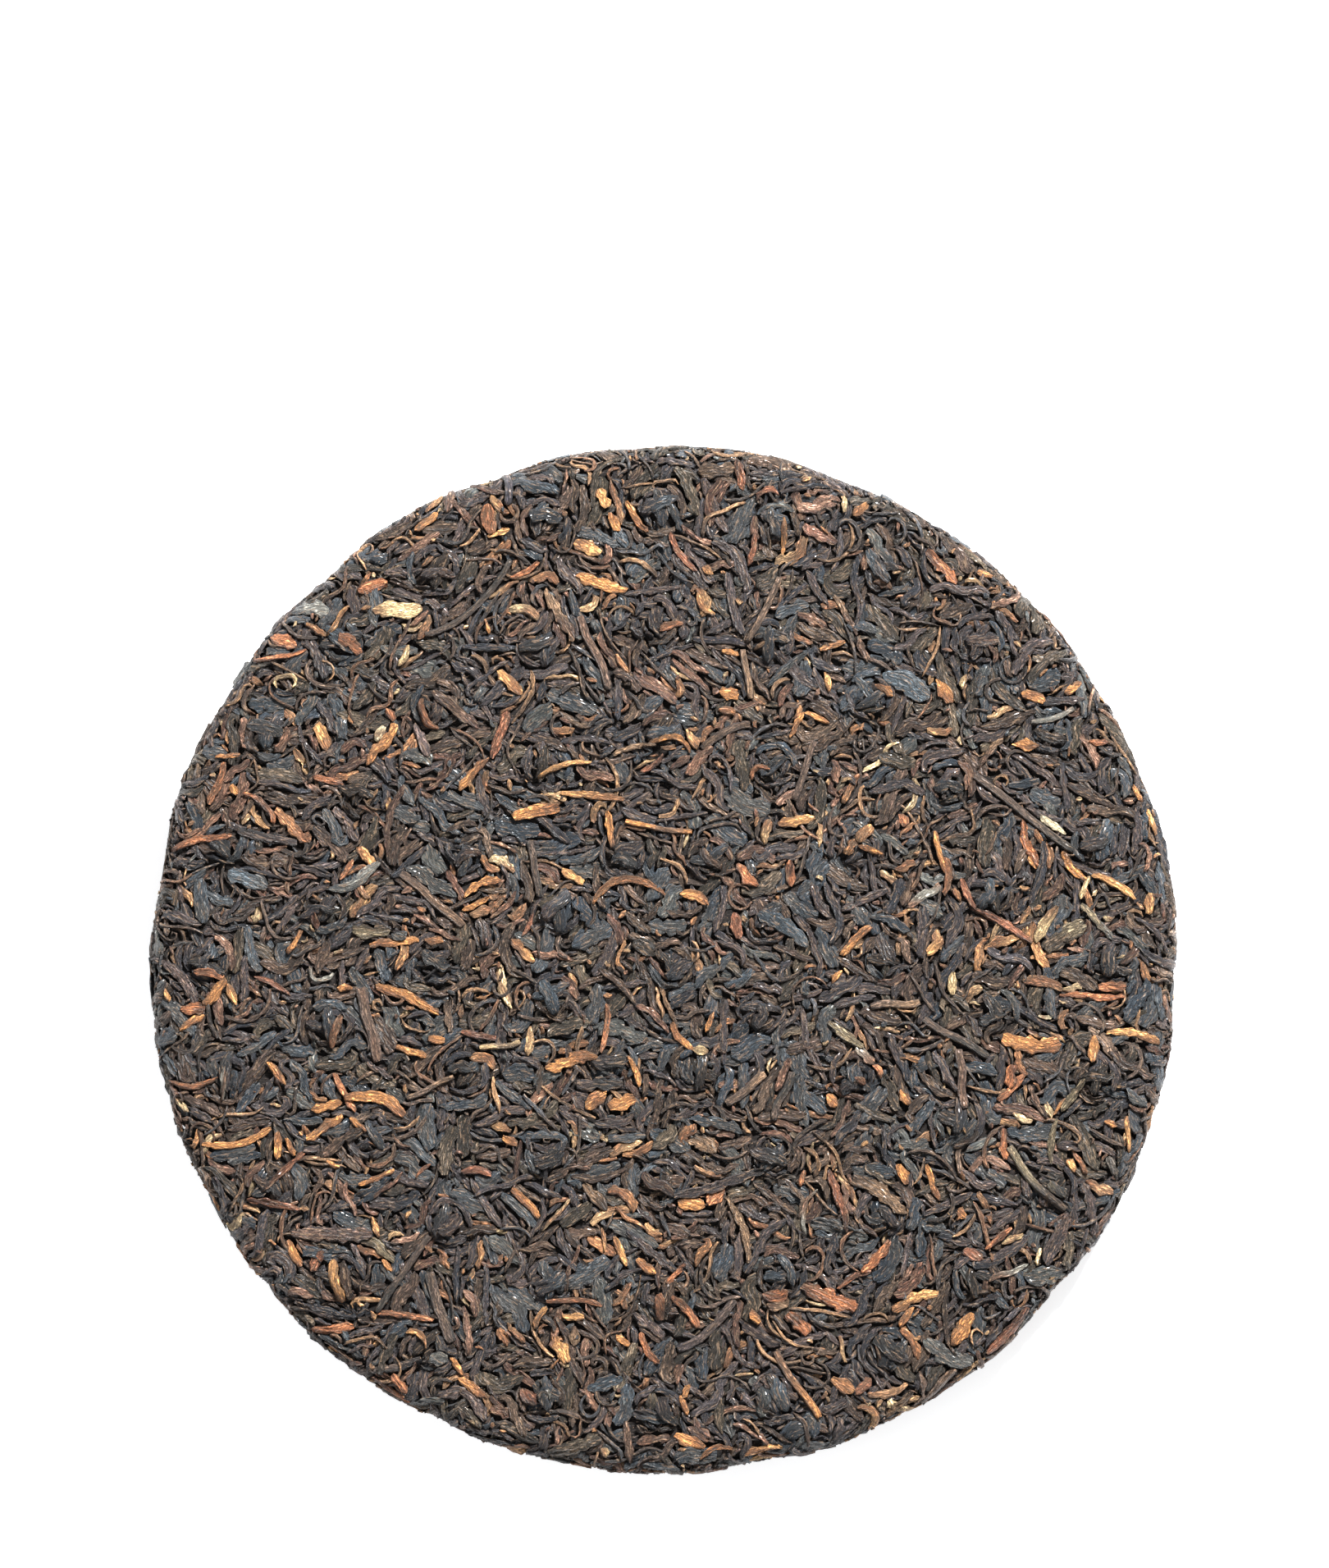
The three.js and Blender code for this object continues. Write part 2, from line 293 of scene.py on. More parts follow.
def leaf_shape(leaf, steps):
    """Where a leaf's middle line runs and how far its edges are, laid along the X axis."""
    u = np.linspace(0, 1, steps)
    along = u * leaf["length"]
    turn = (
        leaf["bend"] * (u - 0.5)
        + leaf["sway"] * np.sin(leaf["sways"] * 2 * math.pi * u + leaf["phases"][0, 0])
        + leaf["hook"] * np.maximum(0, u - 0.55) ** 2 * 5
    )
    middle = (turn[1:] + turn[:-1]) / 2
    step = leaf["length"] / (steps - 1)
    px = np.concatenate([[0], np.cumsum(np.cos(middle))]) * step
    py = np.concatenate([[0], np.cumsum(np.sin(middle))]) * step
    near = np.clip(u / leaf["tips"][0], 0, 1)
    far = np.clip((1 - u) / leaf["tips"][1], 0, 1)
    taper = leaf["blunt"] + (1 - leaf["blunt"]) * np.sqrt(near * far)
    half = leaf["width"] / 2 * taper
    left = half * (1 + leaf["ragged"] * ragged(leaf, along, 1))
    right = half * (1 + leaf["ragged"] * ragged(leaf, along, 2))
    return u, turn, px - px[steps // 2], py - py[steps // 2], left, right


def strip_places(shape, across, skew):
    """A lattice of places: rows along the leaf and columns across it, from right to left. Skew slants
    the ends, as torn leaves have them."""
    _, turn, px, py, left, right = shape
    reach = np.where(across >= 0, left[:, None] * across, right[:, None] * across)
    cosine, sine = np.cos(turn)[:, None], np.sin(turn)[:, None]
    x = px[:, None] + (skew * cosine - sine) * reach
    y = py[:, None] + (skew * sine + cosine) * reach
    return x, y, reach


def turned(leaf, x, y, heading):
    """Turns places to a heading and moves them to where the leaf lies."""
    cosine, sine = np.cos(heading), np.sin(heading)
    return leaf["x"] + cosine * x - sine * y, leaf["y"] + sine * x + cosine * y


def footprint(leaf):
    """The places that a leaf covers, laid along the X axis."""
    steps = max(5, int(leaf["length"] / FOOTPRINT_PACE) + 1)
    columns = max(3, int(leaf["width"] / FOOTPRINT_PACE) + 1)
    across = np.linspace(-FOOTPRINT_EDGE, FOOTPRINT_EDGE, columns)
    x, y, _ = strip_places(leaf_shape(leaf, steps), across, leaf["skew"])
    return x, y


def draw_leaf(kind, x, y, heading=0.0, scale=1.0, **given):
    """A leaf of a kind, with its sizes drawn. Anything may be given instead.

    rim goes from 0 at 8 mm inside the edge of the cake to 1 at 2 mm: leaves lift more there."""
    row = KINDS[kind]
    skew = rng.beta(1.5, 2.4)
    length = (row["length"][0] + (row["length"][1] - row["length"][0]) * skew) * scale
    width = rng.uniform(*row["width"]) * (0.35 + 0.65 * min(scale, 1.1))
    rim = max(0.0, min(1.0, (math.hypot(x, y) - DIAMETER / 2 + 8) / 6))
    leaf = {
        "kind": kind, "x": x, "y": y, "heading": heading, "length": length,
        "width": min(width, length * 0.6),
        "bend": rng.normal(0, row["bend"]), "sway": rng.normal(0, 0.28), "sways": rng.uniform(0.7, 1.8),
        "hook": rng.normal(0, 2.0) if rng.random() < 0.22 else 0.0,
        "tips": rng.uniform(0.08, 0.5, 2), "blunt": rng.uniform(0.15, 0.6),
        "ragged": rng.uniform(0.15, 0.5), "phases": rng.uniform(0, 6.28, (4, 3)),
        "folds": rng.uniform(0.75, 1.3) / row["fold"], "deep": row["deep"] * rng.uniform(0.6, 1.3),
        "twist": rng.normal(0, 0.35), "roll": rng.normal(0, 0.16),
        "thick": row["thick"] * rng.uniform(0.75, 1.3) * min(1.0, 0.55 + 0.45 * scale),
        "form": rng.choice(["roll", "roof", "cup"], p=[0.4, 0.35, 0.25]),
        "ridge": rng.uniform(-0.5, 0.5), "skew": rng.normal(0, 0.4),
        "level": -abs(rng.normal(0, 0.22)) + rim * rng.uniform(0, 0.45),
        "seed": int(rng.integers(1 << 30)), "pace": FACE_PACE,
    }
    if kind == "tea_twig":
        leaf.update(
            tips=np.array([0.05, 0.05]), blunt=0.8, ragged=0.08, roll=0.0, sway=0.08, hook=0.0,
            form="roll", skew=0.0,
        )
    leaf.update(given)
    return leaf


# %% Laying a leaf
def smooth(rows, passes):
    """Evens out heights along and across a leaf."""
    for _ in range(passes):
        padded = np.pad(rows, ((1, 1), (1, 1)), mode="edge")
        beside = padded[:-2, 1:-1] + padded[2:, 1:-1] + padded[1:-1, :-2] + padded[1:-1, 2:]
        rows = (beside + 2 * rows) / 6
    return rows


def lay(bed, leaf, x, y):
    """Lays a leaf on places of the bed: finds its heights and marks what it covers."""
    at = cells(x, y)
    roof = bed["under"][at]
    heights = np.minimum(leaf["level"], roof - CLEARANCE)
    padded = np.pad(heights, ((1, 1), (0, 0)), mode="edge")
    heights = np.minimum(np.minimum(padded[:-2], padded[2:]), heights)
    leaf["heights"] = np.maximum(smooth(heights, 2), DEEPEST)
    bed["under"][at] = np.minimum(roof, leaf["heights"] - leaf["thick"] * BULK)
    leaf["side"] = bed["side"]
    bed["leaves"][leaf["kind"]].append(leaf)


def lay_here(bed, leaf):
    """Lays a leaf at its own place and heading."""
    lay(bed, leaf, *turned(leaf, *footprint(leaf), leaf["heading"]))


# %% [markdown]
# Each phase looks for bare cells and tries a few headings for a leaf there. The first leaves must lie
# almost free, and later ones may be half hidden, so that the bed closes with few small gaps.

# %% Filling a bed
LOOK_EVERY = 200


def pick_kind(x, y):
    """Kinds aren't mixed evenly: each has places where it is more common."""
    kinds = list(SHARES)
    index = np.arange(len(kinds))
    drift = 1 + 0.55 * np.sin(x / 17 + 2.1 * index) * np.cos(y / 13 - 1.3 * index)
    chances = np.array([SHARES[k] for k in kinds]) * drift
    return kinds[rng.choice(len(kinds), p=chances / chances.sum())]


def fill(bed, scale, least_free, tries, stop_at, headings=6):
    """Lays leaves of a scale on bare cells. least_free is the share of a leaf that must lie free, and
    stop_at the share of holes to stop at."""
    open_cells = np.argwhere(holes(bed))
    total = bed["inside"].sum()
    rng.shuffle(open_cells)
    count = 0
    for row, column in open_cells[:tries]:
        if bed["under"][row, column] < np.inf:
            continue
        x, y = (row - HALF + rng.random()) * CELL, (column - HALF + rng.random()) * CELL
        leaf = draw_leaf(pick_kind(x, y), x, y, 0.0, scale)
        ways = rng.uniform(0, math.pi) + np.arange(headings) * math.pi / headings
        places = turned(leaf, *footprint(leaf), ways[:, None, None])
        at = cells(*places)
        shares = np.mean((bed["under"][at] == np.inf) & bed["inside"][at], axis=(1, 2))
        best = int(np.argmax(shares))
        if shares[best] < least_free:
            continue
        leaf["heading"] = ways[best]
        lay(bed, leaf, places[0][best], places[1][best])
        count += 1
        if count % LOOK_EVERY == 0 and holes(bed).sum() < stop_at * total:
            break
    print("laid", count, "at scale", scale, "holes", round(holes(bed).sum() / total, 3))


# %% [markdown]
# ## From a leaf to a mesh
#
# A leaf is a closed strip. Its section is a pillow with folds that wind along it. Its colour carries
# painted light and shade: lighter on its folds, and darker between them, at its edges, where it dives
# under another leaf and on its underside.

# %% Leaf mesh
# Columns crowd towards the edges of a leaf, where its section is steep.
CROWDING = 1.45


def painted_nub_shade(x, y):
    """From 0 to 1: painted shade on the leaves of a nub, centred a millimetre from its middle on the side
    away from the light, where its shadow falls.
    """
    middle = np.argmin(np.hypot(NUBS[:, 0] - x.mean(), NUBS[:, 1] - y.mean()))
    away = np.hypot(x - NUBS[middle, 0], y - NUBS[middle, 1] + 1)
    return np.clip((5.5 - away) / 2.5, 0, 1)


def section(leaf, v):
    """The height of a leaf's skin from edge to edge, from 0 to 1."""
    if leaf["form"] == "roll":
        return np.sqrt(np.maximum(0, 1 - np.abs(v) ** 2.6))
    ridge = leaf["ridge"]
    if leaf["form"] == "roof":
        return np.minimum((1 - v) / (1 - ridge), (1 + v) / (1 + ridge)) ** 0.7
    return (0.4 + 0.6 * v ** 2) * np.minimum(1, (1 - np.abs(v)) * 9)


def leaf_mesh(leaf):
    """Laid-out points (x, y, lift), triangles, tones and grain of one leaf."""
    stations = int(np.clip(round(leaf["length"] / leaf["pace"]) + 1, 4, 18))
    top = int(np.clip(round(leaf["width"] / leaf["pace"] * 2.8) + 2, 4, 13))
    # The curve is worked out three times finer than the mesh, which takes every third place.
    fine = 3 * (stations - 1) + 1
    shape = [values[::3] for values in leaf_shape(leaf, fine)]
    u, _, px, py, left, right = shape
    v = np.sin(np.linspace(-1, 1, top) * CROWDING) / math.sin(CROWDING)
    x, y, reach = strip_places(shape, v, leaf["skew"])
    rows, columns = leaf["heights"].shape
    row = np.clip(np.round(u * (rows - 1)).astype(int), 0, rows - 1)
    column = np.round((v / FOOTPRINT_EDGE + 1) / 2 * (columns - 1)).astype(int)
    column = np.clip(column, 0, columns - 1)
    base = leaf["heights"][row[:, None], column[None, :]]
    along = u * leaf["length"]
    pillow = section(leaf, v)
    start, swing = leaf["phases"][3, :2]
    wind = start + leaf["twist"] * along + 0.7 * np.sin(along * 0.9 + swing)
    fold = np.abs(np.cos(math.pi / 2 * leaf["folds"] * reach * 2 + wind[:, None])) ** 0.8
    crumple = ragged(leaf, along[:, None] + reach * 1.7, 3)
    thick = leaf["thick"] * (0.5 + 0.5 * (left + right) / (left + right).max())
    lift = base + thick[:, None] * (pillow - 1) + leaf["deep"] * (fold - 1) * np.sqrt(pillow)
    lift = lift + 0.22 * leaf["deep"] * crumple + leaf["roll"] * reach
    low = (base[:, top // 2] - thick - 0.2)[:, None]
    x = np.concatenate([x, px[:, None]], axis=1)
    y = np.concatenate([y, py[:, None]], axis=1)
    x, y = turned(leaf, x, y, leaf["heading"])
    lift = np.concatenate([lift, low], axis=1)
    colour = tone_of(leaf, u, v, fold, pillow, base)
    # Painted shade darkens the leaves on each nub and just beyond it, on the side away from the light.
    if leaf["side"] > 0:
        colour = colour * (1 - 0.5 * painted_nub_shade(x, y))[:, :, None]
    # Each leaf reads its own stretch of the noise.
    offset = (leaf["seed"] % 977) * 3.1
    across = np.concatenate([reach, np.zeros((stations, 1))], axis=1) + offset * 0.37
    along = np.repeat(along[:, None], top + 1, axis=1) + offset
    points = np.stack([x, y, lift], axis=-1).reshape(-1, 3)
    grain = np.stack([along, across], axis=-1).reshape(-1, 2)
    return points, strip_triangles(stations, top + 1), colour.reshape(-1, 3), grain


def tone_of(leaf, u, v, fold, pillow, base):
    """The colours of a leaf's skin, with painted shade in it, and of its underside in the last column,
    painted dark as shade.

    drift makes patches of the cake lighter or darker, and share is how far a place on the leaf turns
    to the shade of its kind."""
    chance = np.random.default_rng(leaf["seed"])
    palette = PALETTES[leaf["kind"]]
    drift = 0.12 * math.sin(leaf["x"] / 9 + 1.7) * math.cos(leaf["y"] / 7)
    drift = drift + 0.1 * math.sin((leaf["x"] - leaf["y"]) / 5)
    first = palette[chance.integers(len(palette))] * np.exp(chance.normal(0, 0.24) + drift)
    if "tone" in leaf:
        first = linear(TONES[leaf["tone"]]) * chance.uniform(1.1, 1.35)
    run = u[:, None] * chance.uniform(1, 6) + v[None, :] * chance.normal(0, 0.9) + chance.uniform(0, 6)
    share = np.clip(0.35 + 0.6 * np.sin(run), 0, 0.85)[:, :, None]
    colour = first * (1 - share) + linear(KINDS[leaf["kind"]]["shade"]) * share
    # Painted shade: the skin is darker where the leaf dives low, between its folds and towards its edges,
    # and lighter on its folds. The underside is painted darker still, as shade.
    depth = np.clip(1 + (base + 0.25) * 0.55, 0.25, 1)
    shade = (0.4 + 0.85 * fold) * (0.6 + 0.4 * pillow) * depth
    return np.concatenate([colour * shade[:, :, None], colour[:, :1] * 0.35], axis=1)


STRIPS = {}


def strip_triangles(stations, ring):
    """The triangles of a closed strip: a ring of points at each station, and two fans."""
    if (stations, ring) not in STRIPS:
        out = []
        for i in range(stations - 1):
            for k in range(ring):
                a, b = i * ring + k, i * ring + (k + 1) % ring
                out += [(a, a + ring, b), (b, a + ring, b + ring)]
        last = (stations - 1) * ring
        for k in range(1, ring - 1):
            out += [(0, k, k + 1), (last, last + k + 1, last + k)]
        STRIPS[stations, ring] = np.array(out)
    return STRIPS[stations, ring]


def piece_from(name, side, leaves):
    """One mesh of many leaves of one side. Nothing on the back passes the plane that it rests on."""
    parts = [leaf_mesh(leaf) for leaf in leaves]
    starts = np.cumsum([0] + [len(p[0]) for p in parts[:-1]])
    laid = np.concatenate([p[0] for p in parts])
    if side < 0:
        laid[:, 2] = np.minimum(laid[:, 2], 0)
    triangles = np.concatenate([p[1] + start for p, start in zip(parts, starts)])
    if side < 0:
        triangles = triangles[:, ::-1]
    points = on_skin(side, laid[:, 0], laid[:, 1], laid[:, 2])
    points[:, 2] = np.maximum(points[:, 2], 0)
    tones = np.concatenate([p[2] for p in parts])
    grain = np.concatenate([p[3] for p in parts])
    piece = make_mesh(name, points, triangles, tones, grain)
    print(name, len(leaves), "leaves,", len(triangles), "triangles")
    return piece


# %% [markdown]
# ## The face
#
# First come the leaves that catch the eye in the photo, each at its own place. Then the nubs: leaves
# balled up over each vent hole. Then the rest of the face is filled.

# %% Leaves at their places
TONES = {
    "cream": "#e2cfa8", "straw": "#d2b282", "honey": "#d89c60", "amber": "#c4844c",
    "copper": "#b06f49", "rust": "#8f5c44", "walnut": "#82674f", "umber": "#5f493c",
    # slate, like the slate leaves, is dark leaf with a painted reflection of cool light.
    "moss": "#7a6d56", "ash": "#8c897f", "slate": "#4c5459", "soot": "#38342f",
}
# Tone, where the leaf starts (x, y), where it ends (x, y), its width and how far it turns to the left
# from start to end, in radians.
LANDMARKS = {
    "tea_twig": [
        ("soot", -46.3, 63.5, -29.9, 78.2, 1.3, 0.9), ("umber", -16.5, 67.0, -10.4, 52.9, 1.7, -0.05),
        ("soot", -26.1, 23.4, -24.2, 12.5, 1.5, 0), ("amber", -7.5, 27.2, 5.4, 25.0, 1.1, 0.2),
        ("walnut", 22.4, 74.4, 16.0, 61.9, 1.4, -0.2), ("walnut", 15.7, 60.6, 17.0, 51.0, 1.4, 0.2),
        ("soot", 60.3, 35.6, 79.8, 21.5, 1.6, 0), ("umber", 29.2, 42.6, 25.3, 31.1, 1.5, 0),
        ("umber", -59.1, -5.4, -55.3, -19.6, 2.2, 0), ("straw", -35.7, -17.0, -27.7, -15.7, 1.2, 0.2),
        ("soot", -45.6, -53.5, -55.9, -68.3, 1.4, 0.05), ("soot", -45.6, -60.6, -41.2, -74.0, 2.2, 0.2),
        ("soot", 50.6, -11.2, 63.1, -18.3, 1.6, 0.1), ("soot", 24.7, -21.5, 21.2, -31.1, 1.6, 0.1),
        ("walnut", 40.1, -8.7, 49.7, -7.7, 1.6, 0.1), ("umber", 57.4, -17.0, 58.3, -28.5, 1.8, 0),
        ("amber", 21.8, -75.6, 29.8, -88.8, 1.5, 0.1), ("moss", 67.0, -36.2, 77.9, -48.4, 1.7, 0.5),
        ("walnut", 12.2, -27.9, 19.9, -22.1, 1.8, 0), ("walnut", -49.8, -26.6, -40.8, -22.1, 1.2, 0.1),
        ("ash", 71.5, 46.2, 79.8, 49.0, 1.2, 0.4),
    ],
    "charcoal_leaf": [
        ("soot", -82.8, 25.3, -71.3, 22.8, 2.0, 0.1), ("umber", -72.2, -52.6, -56.5, -52.9, 3.0, 0.1),
        ("soot", 2.2, -45.8, 19.6, -40.7, 2.0, 0.1), ("umber", 78.8, -49.7, 74.0, -58.7, 3.0, 0.1),
        ("soot", -16.8, -24.0, -7.9, -23.7, 2.6, 0),
    ],
    "slate_leaf": [
        ("slate", 42.6, 55.8, 51.6, 51.0, 4.4, -0.5), ("slate", -84.7, 17.0, -77.1, 14.4, 3.0, -0.2),
        ("ash", -64.9, 13.1, -54.6, 18.3, 2.2, 0.2), ("soot", -52.7, 5.4, -50.1, 4.2, 2.4, 0),
        ("ash", -73.2, 68.3, -64.9, 68.3, 3.0, -0.4), ("moss", 81.1, 11.2, 87.2, 4.5, 1.4, 0.1),
        ("slate", 18.3, 9.3, 27.9, 2.9, 3.0, -0.6), ("slate", 22.1, -57.4, 25.3, -63.1, 2.0, -1.0),
        ("slate", 21.5, -81.0, 24.0, -87.5, 3.0, 0.3), ("ash", -45.3, -76.3, -42.1, -77.6, 3.0, 0),
        ("moss", 75.3, -42.6, 77.6, -45.8, 2.6, 0.4),
    ],
    "brown_leaf": [
        ("umber", 37.5, 63.1, 39.4, 58.0, 1.4, 0), ("moss", -60.4, 5.4, -53.3, 6.1, 2.6, 0),
        ("walnut", -7.5, 9.3, -2.7, 5.4, 2.0, 0), ("moss", 74.0, 2.2, 81.7, 7.4, 3.6, -0.2),
        ("amber", 76.9, 21.1, 81.1, 15.1, 1.6, 0), ("copper", 68.9, 27.2, 72.1, 18.3, 1.8, 0.1),
        ("umber", -66.8, -37.5, -58.8, -32.4, 2.0, 0), ("rust", -78.0, -44.2, -70.0, -36.9, 1.4, 0.1),
        ("walnut", -15.5, -43.3, -11.0, -48.4, 2.2, 0), ("moss", -59.1, -54.2, -52.4, -58.0, 2.2, -0.8),
        ("walnut", 12.2, -45.8, 16.7, -58.7, 1.8, -0.6), ("moss", 32.1, -11.9, 38.5, -17.0, 2.0, 0),
        ("walnut", 37.2, -41.3, 47.1, -49.0, 3.0, -0.2), ("rust", 31.7, -40.7, 35.3, -52.9, 1.7, -0.4),
        ("copper", 26.6, -63.1, 37.2, -67.6, 3.2, 0), ("copper", 24.0, -68.3, 28.2, -72.1, 2.8, 0),
        ("walnut", 48.4, -83.7, 43.6, -89.4, 2.0, 0), ("umber", 70.8, -24.0, 74.4, -30.4, 1.4, 0.4),
        ("moss", 81.7, -22.8, 77.2, -29.2, 1.6, 0), ("moss", 76.0, -30.4, 75.0, -39.4, 1.5, 0.3),
        ("ash", 86.2, -38.1, 88.1, -42.0, 1.8, 0), ("rust", -80.9, -46.5, -70.6, -48.4, 1.6, -0.3),
        ("copper", -93.7, -9.3, -88.9, -9.0, 2.4, 0), ("walnut", 6.7, 95.2, 13.8, 95.5, 3.2, 0),
        ("rust", 14.1, 97.8, 15.4, 91.3, 1.8, 0), ("copper", 51.0, 79.5, 57.0, 73.4, 2.0, 0),
        ("walnut", 5.4, -34.0, 9.9, -36.9, 3.0, 0), ("umber", -56.5, -11.9, -52.1, -17.0, 4.0, 0),
    ],
    "russet_leaf": [
        ("walnut", -23.2, 72.1, -17.4, 62.5, 2.0, 0.1), ("copper", -29.6, 74.4, -24.2, 77.6, 1.2, 0.5),
        ("copper", -59.4, 71.8, -53.7, 73.4, 2.6, -0.4), ("copper", -77.0, 63.1, -71.3, 61.5, 2.8, 0),
        ("umber", -45.0, 52.2, -36.0, 45.2, 2.2, -0.1), ("rust", -30.3, 48.4, -33.5, 39.4, 1.9, 0),
        ("copper", -96.6, 22.4, -84.1, 25.3, 1.5, 0.15), ("copper", -68.1, 35.6, -62.3, 34.6, 1.4, 0),
        ("umber", -50.8, 34.3, -54.3, 20.8, 1.5, 0.5), ("rust", -68.1, 9.3, -67.4, 6.1, 1.6, 0),
        ("rust", -25.4, 9.3, -27.7, 4.8, 1.1, -0.5), ("walnut", -9.7, 40.1, -1.4, 42.0, 1.1, -0.6),
        ("rust", -4.6, 36.9, -0.1, 40.1, 1.1, 0.8), ("rust", 1.6, 83.0, 6.1, 75.6, 1.3, 0.7),
        ("rust", 17.6, 83.0, 16.3, 76.6, 1.3, -0.4), ("rust", 17.9, 89.7, 22.4, 90.4, 1.2, -2.4),
        ("walnut", 33.0, 70.8, 37.5, 63.1, 1.2, -0.1), ("copper", 14.1, 18.9, 17.9, 14.4, 2.2, 0.3),
        ("copper", 24.4, 19.5, 24.4, 14.4, 2.0, 0), ("rust", 13.8, 9.3, 14.4, 4.2, 2.4, 0),
        ("rust", 58.0, 16.3, 60.6, 9.9, 1.4, 0.5), ("rust", 60.6, 9.9, 71.5, 3.5, 1.6, -0.3),
        ("copper", 82.4, 42.6, 86.2, 42.3, 1.4, 0), ("walnut", 60.9, 37.5, 65.7, 43.3, 1.4, -0.3),
        ("rust", -79.6, -2.9, -72.6, -6.7, 1.2, -0.5), ("rust", -39.2, -13.8, -32.5, -15.1, 1.4, 0),
        ("rust", -39.2, -41.0, -33.5, -41.3, 1.6, -0.9), ("rust", -68.7, -59.9, -66.1, -56.1, 2.0, 0),
        ("umber", -7.5, -89.4, -6.5, -97.8, 1.8, 0), ("rust", -27.7, -83.0, -25.1, -86.2, 2.8, 0),
        ("walnut", -17.4, -70.8, -17.4, -74.7, 2.0, 0), ("copper", -68.7, -72.1, -60.1, -70.8, 2.0, 0),
        ("copper", 76.9, -6.4, 89.7, -7.1, 1.4, 0.1), ("copper", 67.6, -20.2, 67.3, -24.7, 2.2, 0.2),
        ("copper", 43.6, -54.2, 38.1, -60.3, 2.0, -0.6), ("copper", 40.1, -59.9, 33.7, -63.5, 1.2, 0.5),
        ("rust", 70.8, -67.6, 63.1, -76.9, 2.6, -0.3), ("copper", 19.2, -64.4, 24.0, -63.8, 2.4, 1.5),
        ("walnut", 20.2, -66.3, 24.0, -67.0, 3.0, 0), ("copper", 62.5, -55.8, 67.6, -51.6, 1.4, 0),
        ("rust", 58.3, -55.8, 61.5, -58.0, 2.6, 0), ("copper", 4.2, -58.7, 0.6, -62.5, 1.2, 0),
        ("copper", 66.0, -32.4, 66.3, -38.5, 1.4, 0.3), ("copper", -57.2, -81.7, -50.1, -87.2, 1.8, 0.2),
    ],
    "golden_bud": [
        ("amber", -16.8, 75.0, -7.2, 71.8, 2.4, 0.2), ("honey", -17.4, 81.4, -12.3, 79.2, 2.6, 0),
        ("honey", -12.6, 91.7, -11.0, 88.1, 2.2, 0), ("amber", -10.4, 87.2, -8.5, 83.7, 2.0, 0.8),
        ("amber", -7.2, 89.4, -3.3, 83.3, 1.4, 0.5), ("copper", -34.1, 88.8, -34.1, 83.0, 3.0, 0),
        ("honey", -34.1, 82.4, -29.9, 84.0, 1.2, 0), ("amber", -48.5, 84.0, -44.0, 87.2, 1.8, 0.2),
        ("straw", -56.5, 68.6, -46.9, 68.3, 3.2, 0.2), ("amber", -34.7, 66.3, -33.8, 63.5, 1.0, 0),
        ("honey", -69.4, 65.4, -65.5, 63.1, 1.4, 0), ("honey", -65.5, 63.1, -61.3, 69.2, 1.1, 0),
        ("copper", -62.9, 63.1, -58.5, 60.6, 2.6, 0), ("straw", -51.4, 57.4, -49.5, 61.5, 1.4, 0.4),
        ("copper", -46.9, 51.0, -43.7, 45.2, 1.6, 1.6), ("cream", -55.9, 42.9, -54.3, 45.8, 2.0, 0),
        ("amber", -57.8, 38.1, -51.7, 45.8, 2.2, -0.1), ("copper", -53.7, 49.0, -52.4, 46.5, 1.8, 0),
        ("honey", -67.4, 45.8, -64.9, 41.3, 2.6, 0), ("amber", -34.1, 39.4, -39.9, 33.0, 1.7, 0.3),
        ("honey", -31.9, 56.4, -27.7, 51.6, 2.4, 0), ("honey", -24.5, 35.6, -14.2, 38.5, 1.2, -0.8),
        ("honey", -20.0, 32.7, -7.6, 31.4, 1.5, -0.1), ("amber", -29.3, 27.9, -20.3, 29.8, 2.6, -0.3),
        ("amber", -11.0, 29.2, -10.1, 22.1, 1.5, 0), ("honey", -19.7, 17.6, -15.5, 15.1, 1.8, 0),
        ("amber", -13.9, 11.2, 0.2, 12.8, 1.6, -2.05), ("amber", -83.8, 34.3, -83.1, 32.0, 1.6, 0),
        ("copper", -85.4, 38.5, -88.6, 30.4, 1.6, -0.4), ("amber", -87.0, 39.7, -82.2, 40.1, 1.0, 0),
        ("honey", -59.1, 22.1, -56.5, 18.3, 2.2, 0), ("honey", -53.3, 31.7, -53.7, 29.2, 1.4, 0),
        ("copper", -60.4, 19.5, -63.0, 15.7, 1.2, 0), ("amber", -38.6, 12.5, -31.5, 15.7, 1.6, -1.2),
        ("amber", -39.2, 9.9, -34.1, 12.5, 1.2, 0.3), ("amber", -57.2, 3.2, -47.6, 4.2, 1.7, 0),
        ("amber", -46.6, 4.2, -42.8, 3.8, 1.6, 0), ("amber", -72.9, 1.6, -70.3, 6.1, 1.2, 0),
        ("honey", -29.6, 4.2, -25.1, -0.3, 2.0, 0), ("amber", -3.0, 42.0, 5.5, 40.5, 1.3, -2.0),
        ("honey", 6.4, 71.5, 9.9, 67.3, 1.5, 1.2), ("copper", -0.6, 64.1, 3.8, 65.7, 1.5, -0.8),
        ("honey", 7.7, 76.6, 9.6, 75.0, 1.8, 0), ("amber", 23.4, 86.2, 23.4, 78.8, 1.2, 0.1),
        ("amber", 36.9, 86.5, 39.4, 89.1, 2.2, 0), ("amber", 61.2, 76.0, 64.4, 75.3, 1.6, 0),
        ("honey", 30.4, 60.6, 35.3, 62.2, 1.2, 0), ("amber", 11.2, 60.3, 14.4, 59.3, 1.3, -0.5),
        ("amber", 10.9, 51.9, 14.4, 52.2, 2.6, 0), ("honey", 31.1, 56.1, 32.1, 52.2, 1.2, -0.5),
        ("amber", 41.0, 53.8, 44.6, 51.9, 1.8, 0), ("amber", 52.9, 54.8, 56.1, 50.3, 2.4, 0.3),
        ("straw", 58.7, 55.5, 57.7, 52.6, 1.2, 0.7), ("amber", 24.4, 43.6, 27.2, 48.1, 1.2, -0.2),
        ("amber", 27.2, 48.1, 32.1, 46.2, 1.3, -0.3), ("copper", 16.7, 35.3, 20.5, 37.5, 1.3, -2.2),
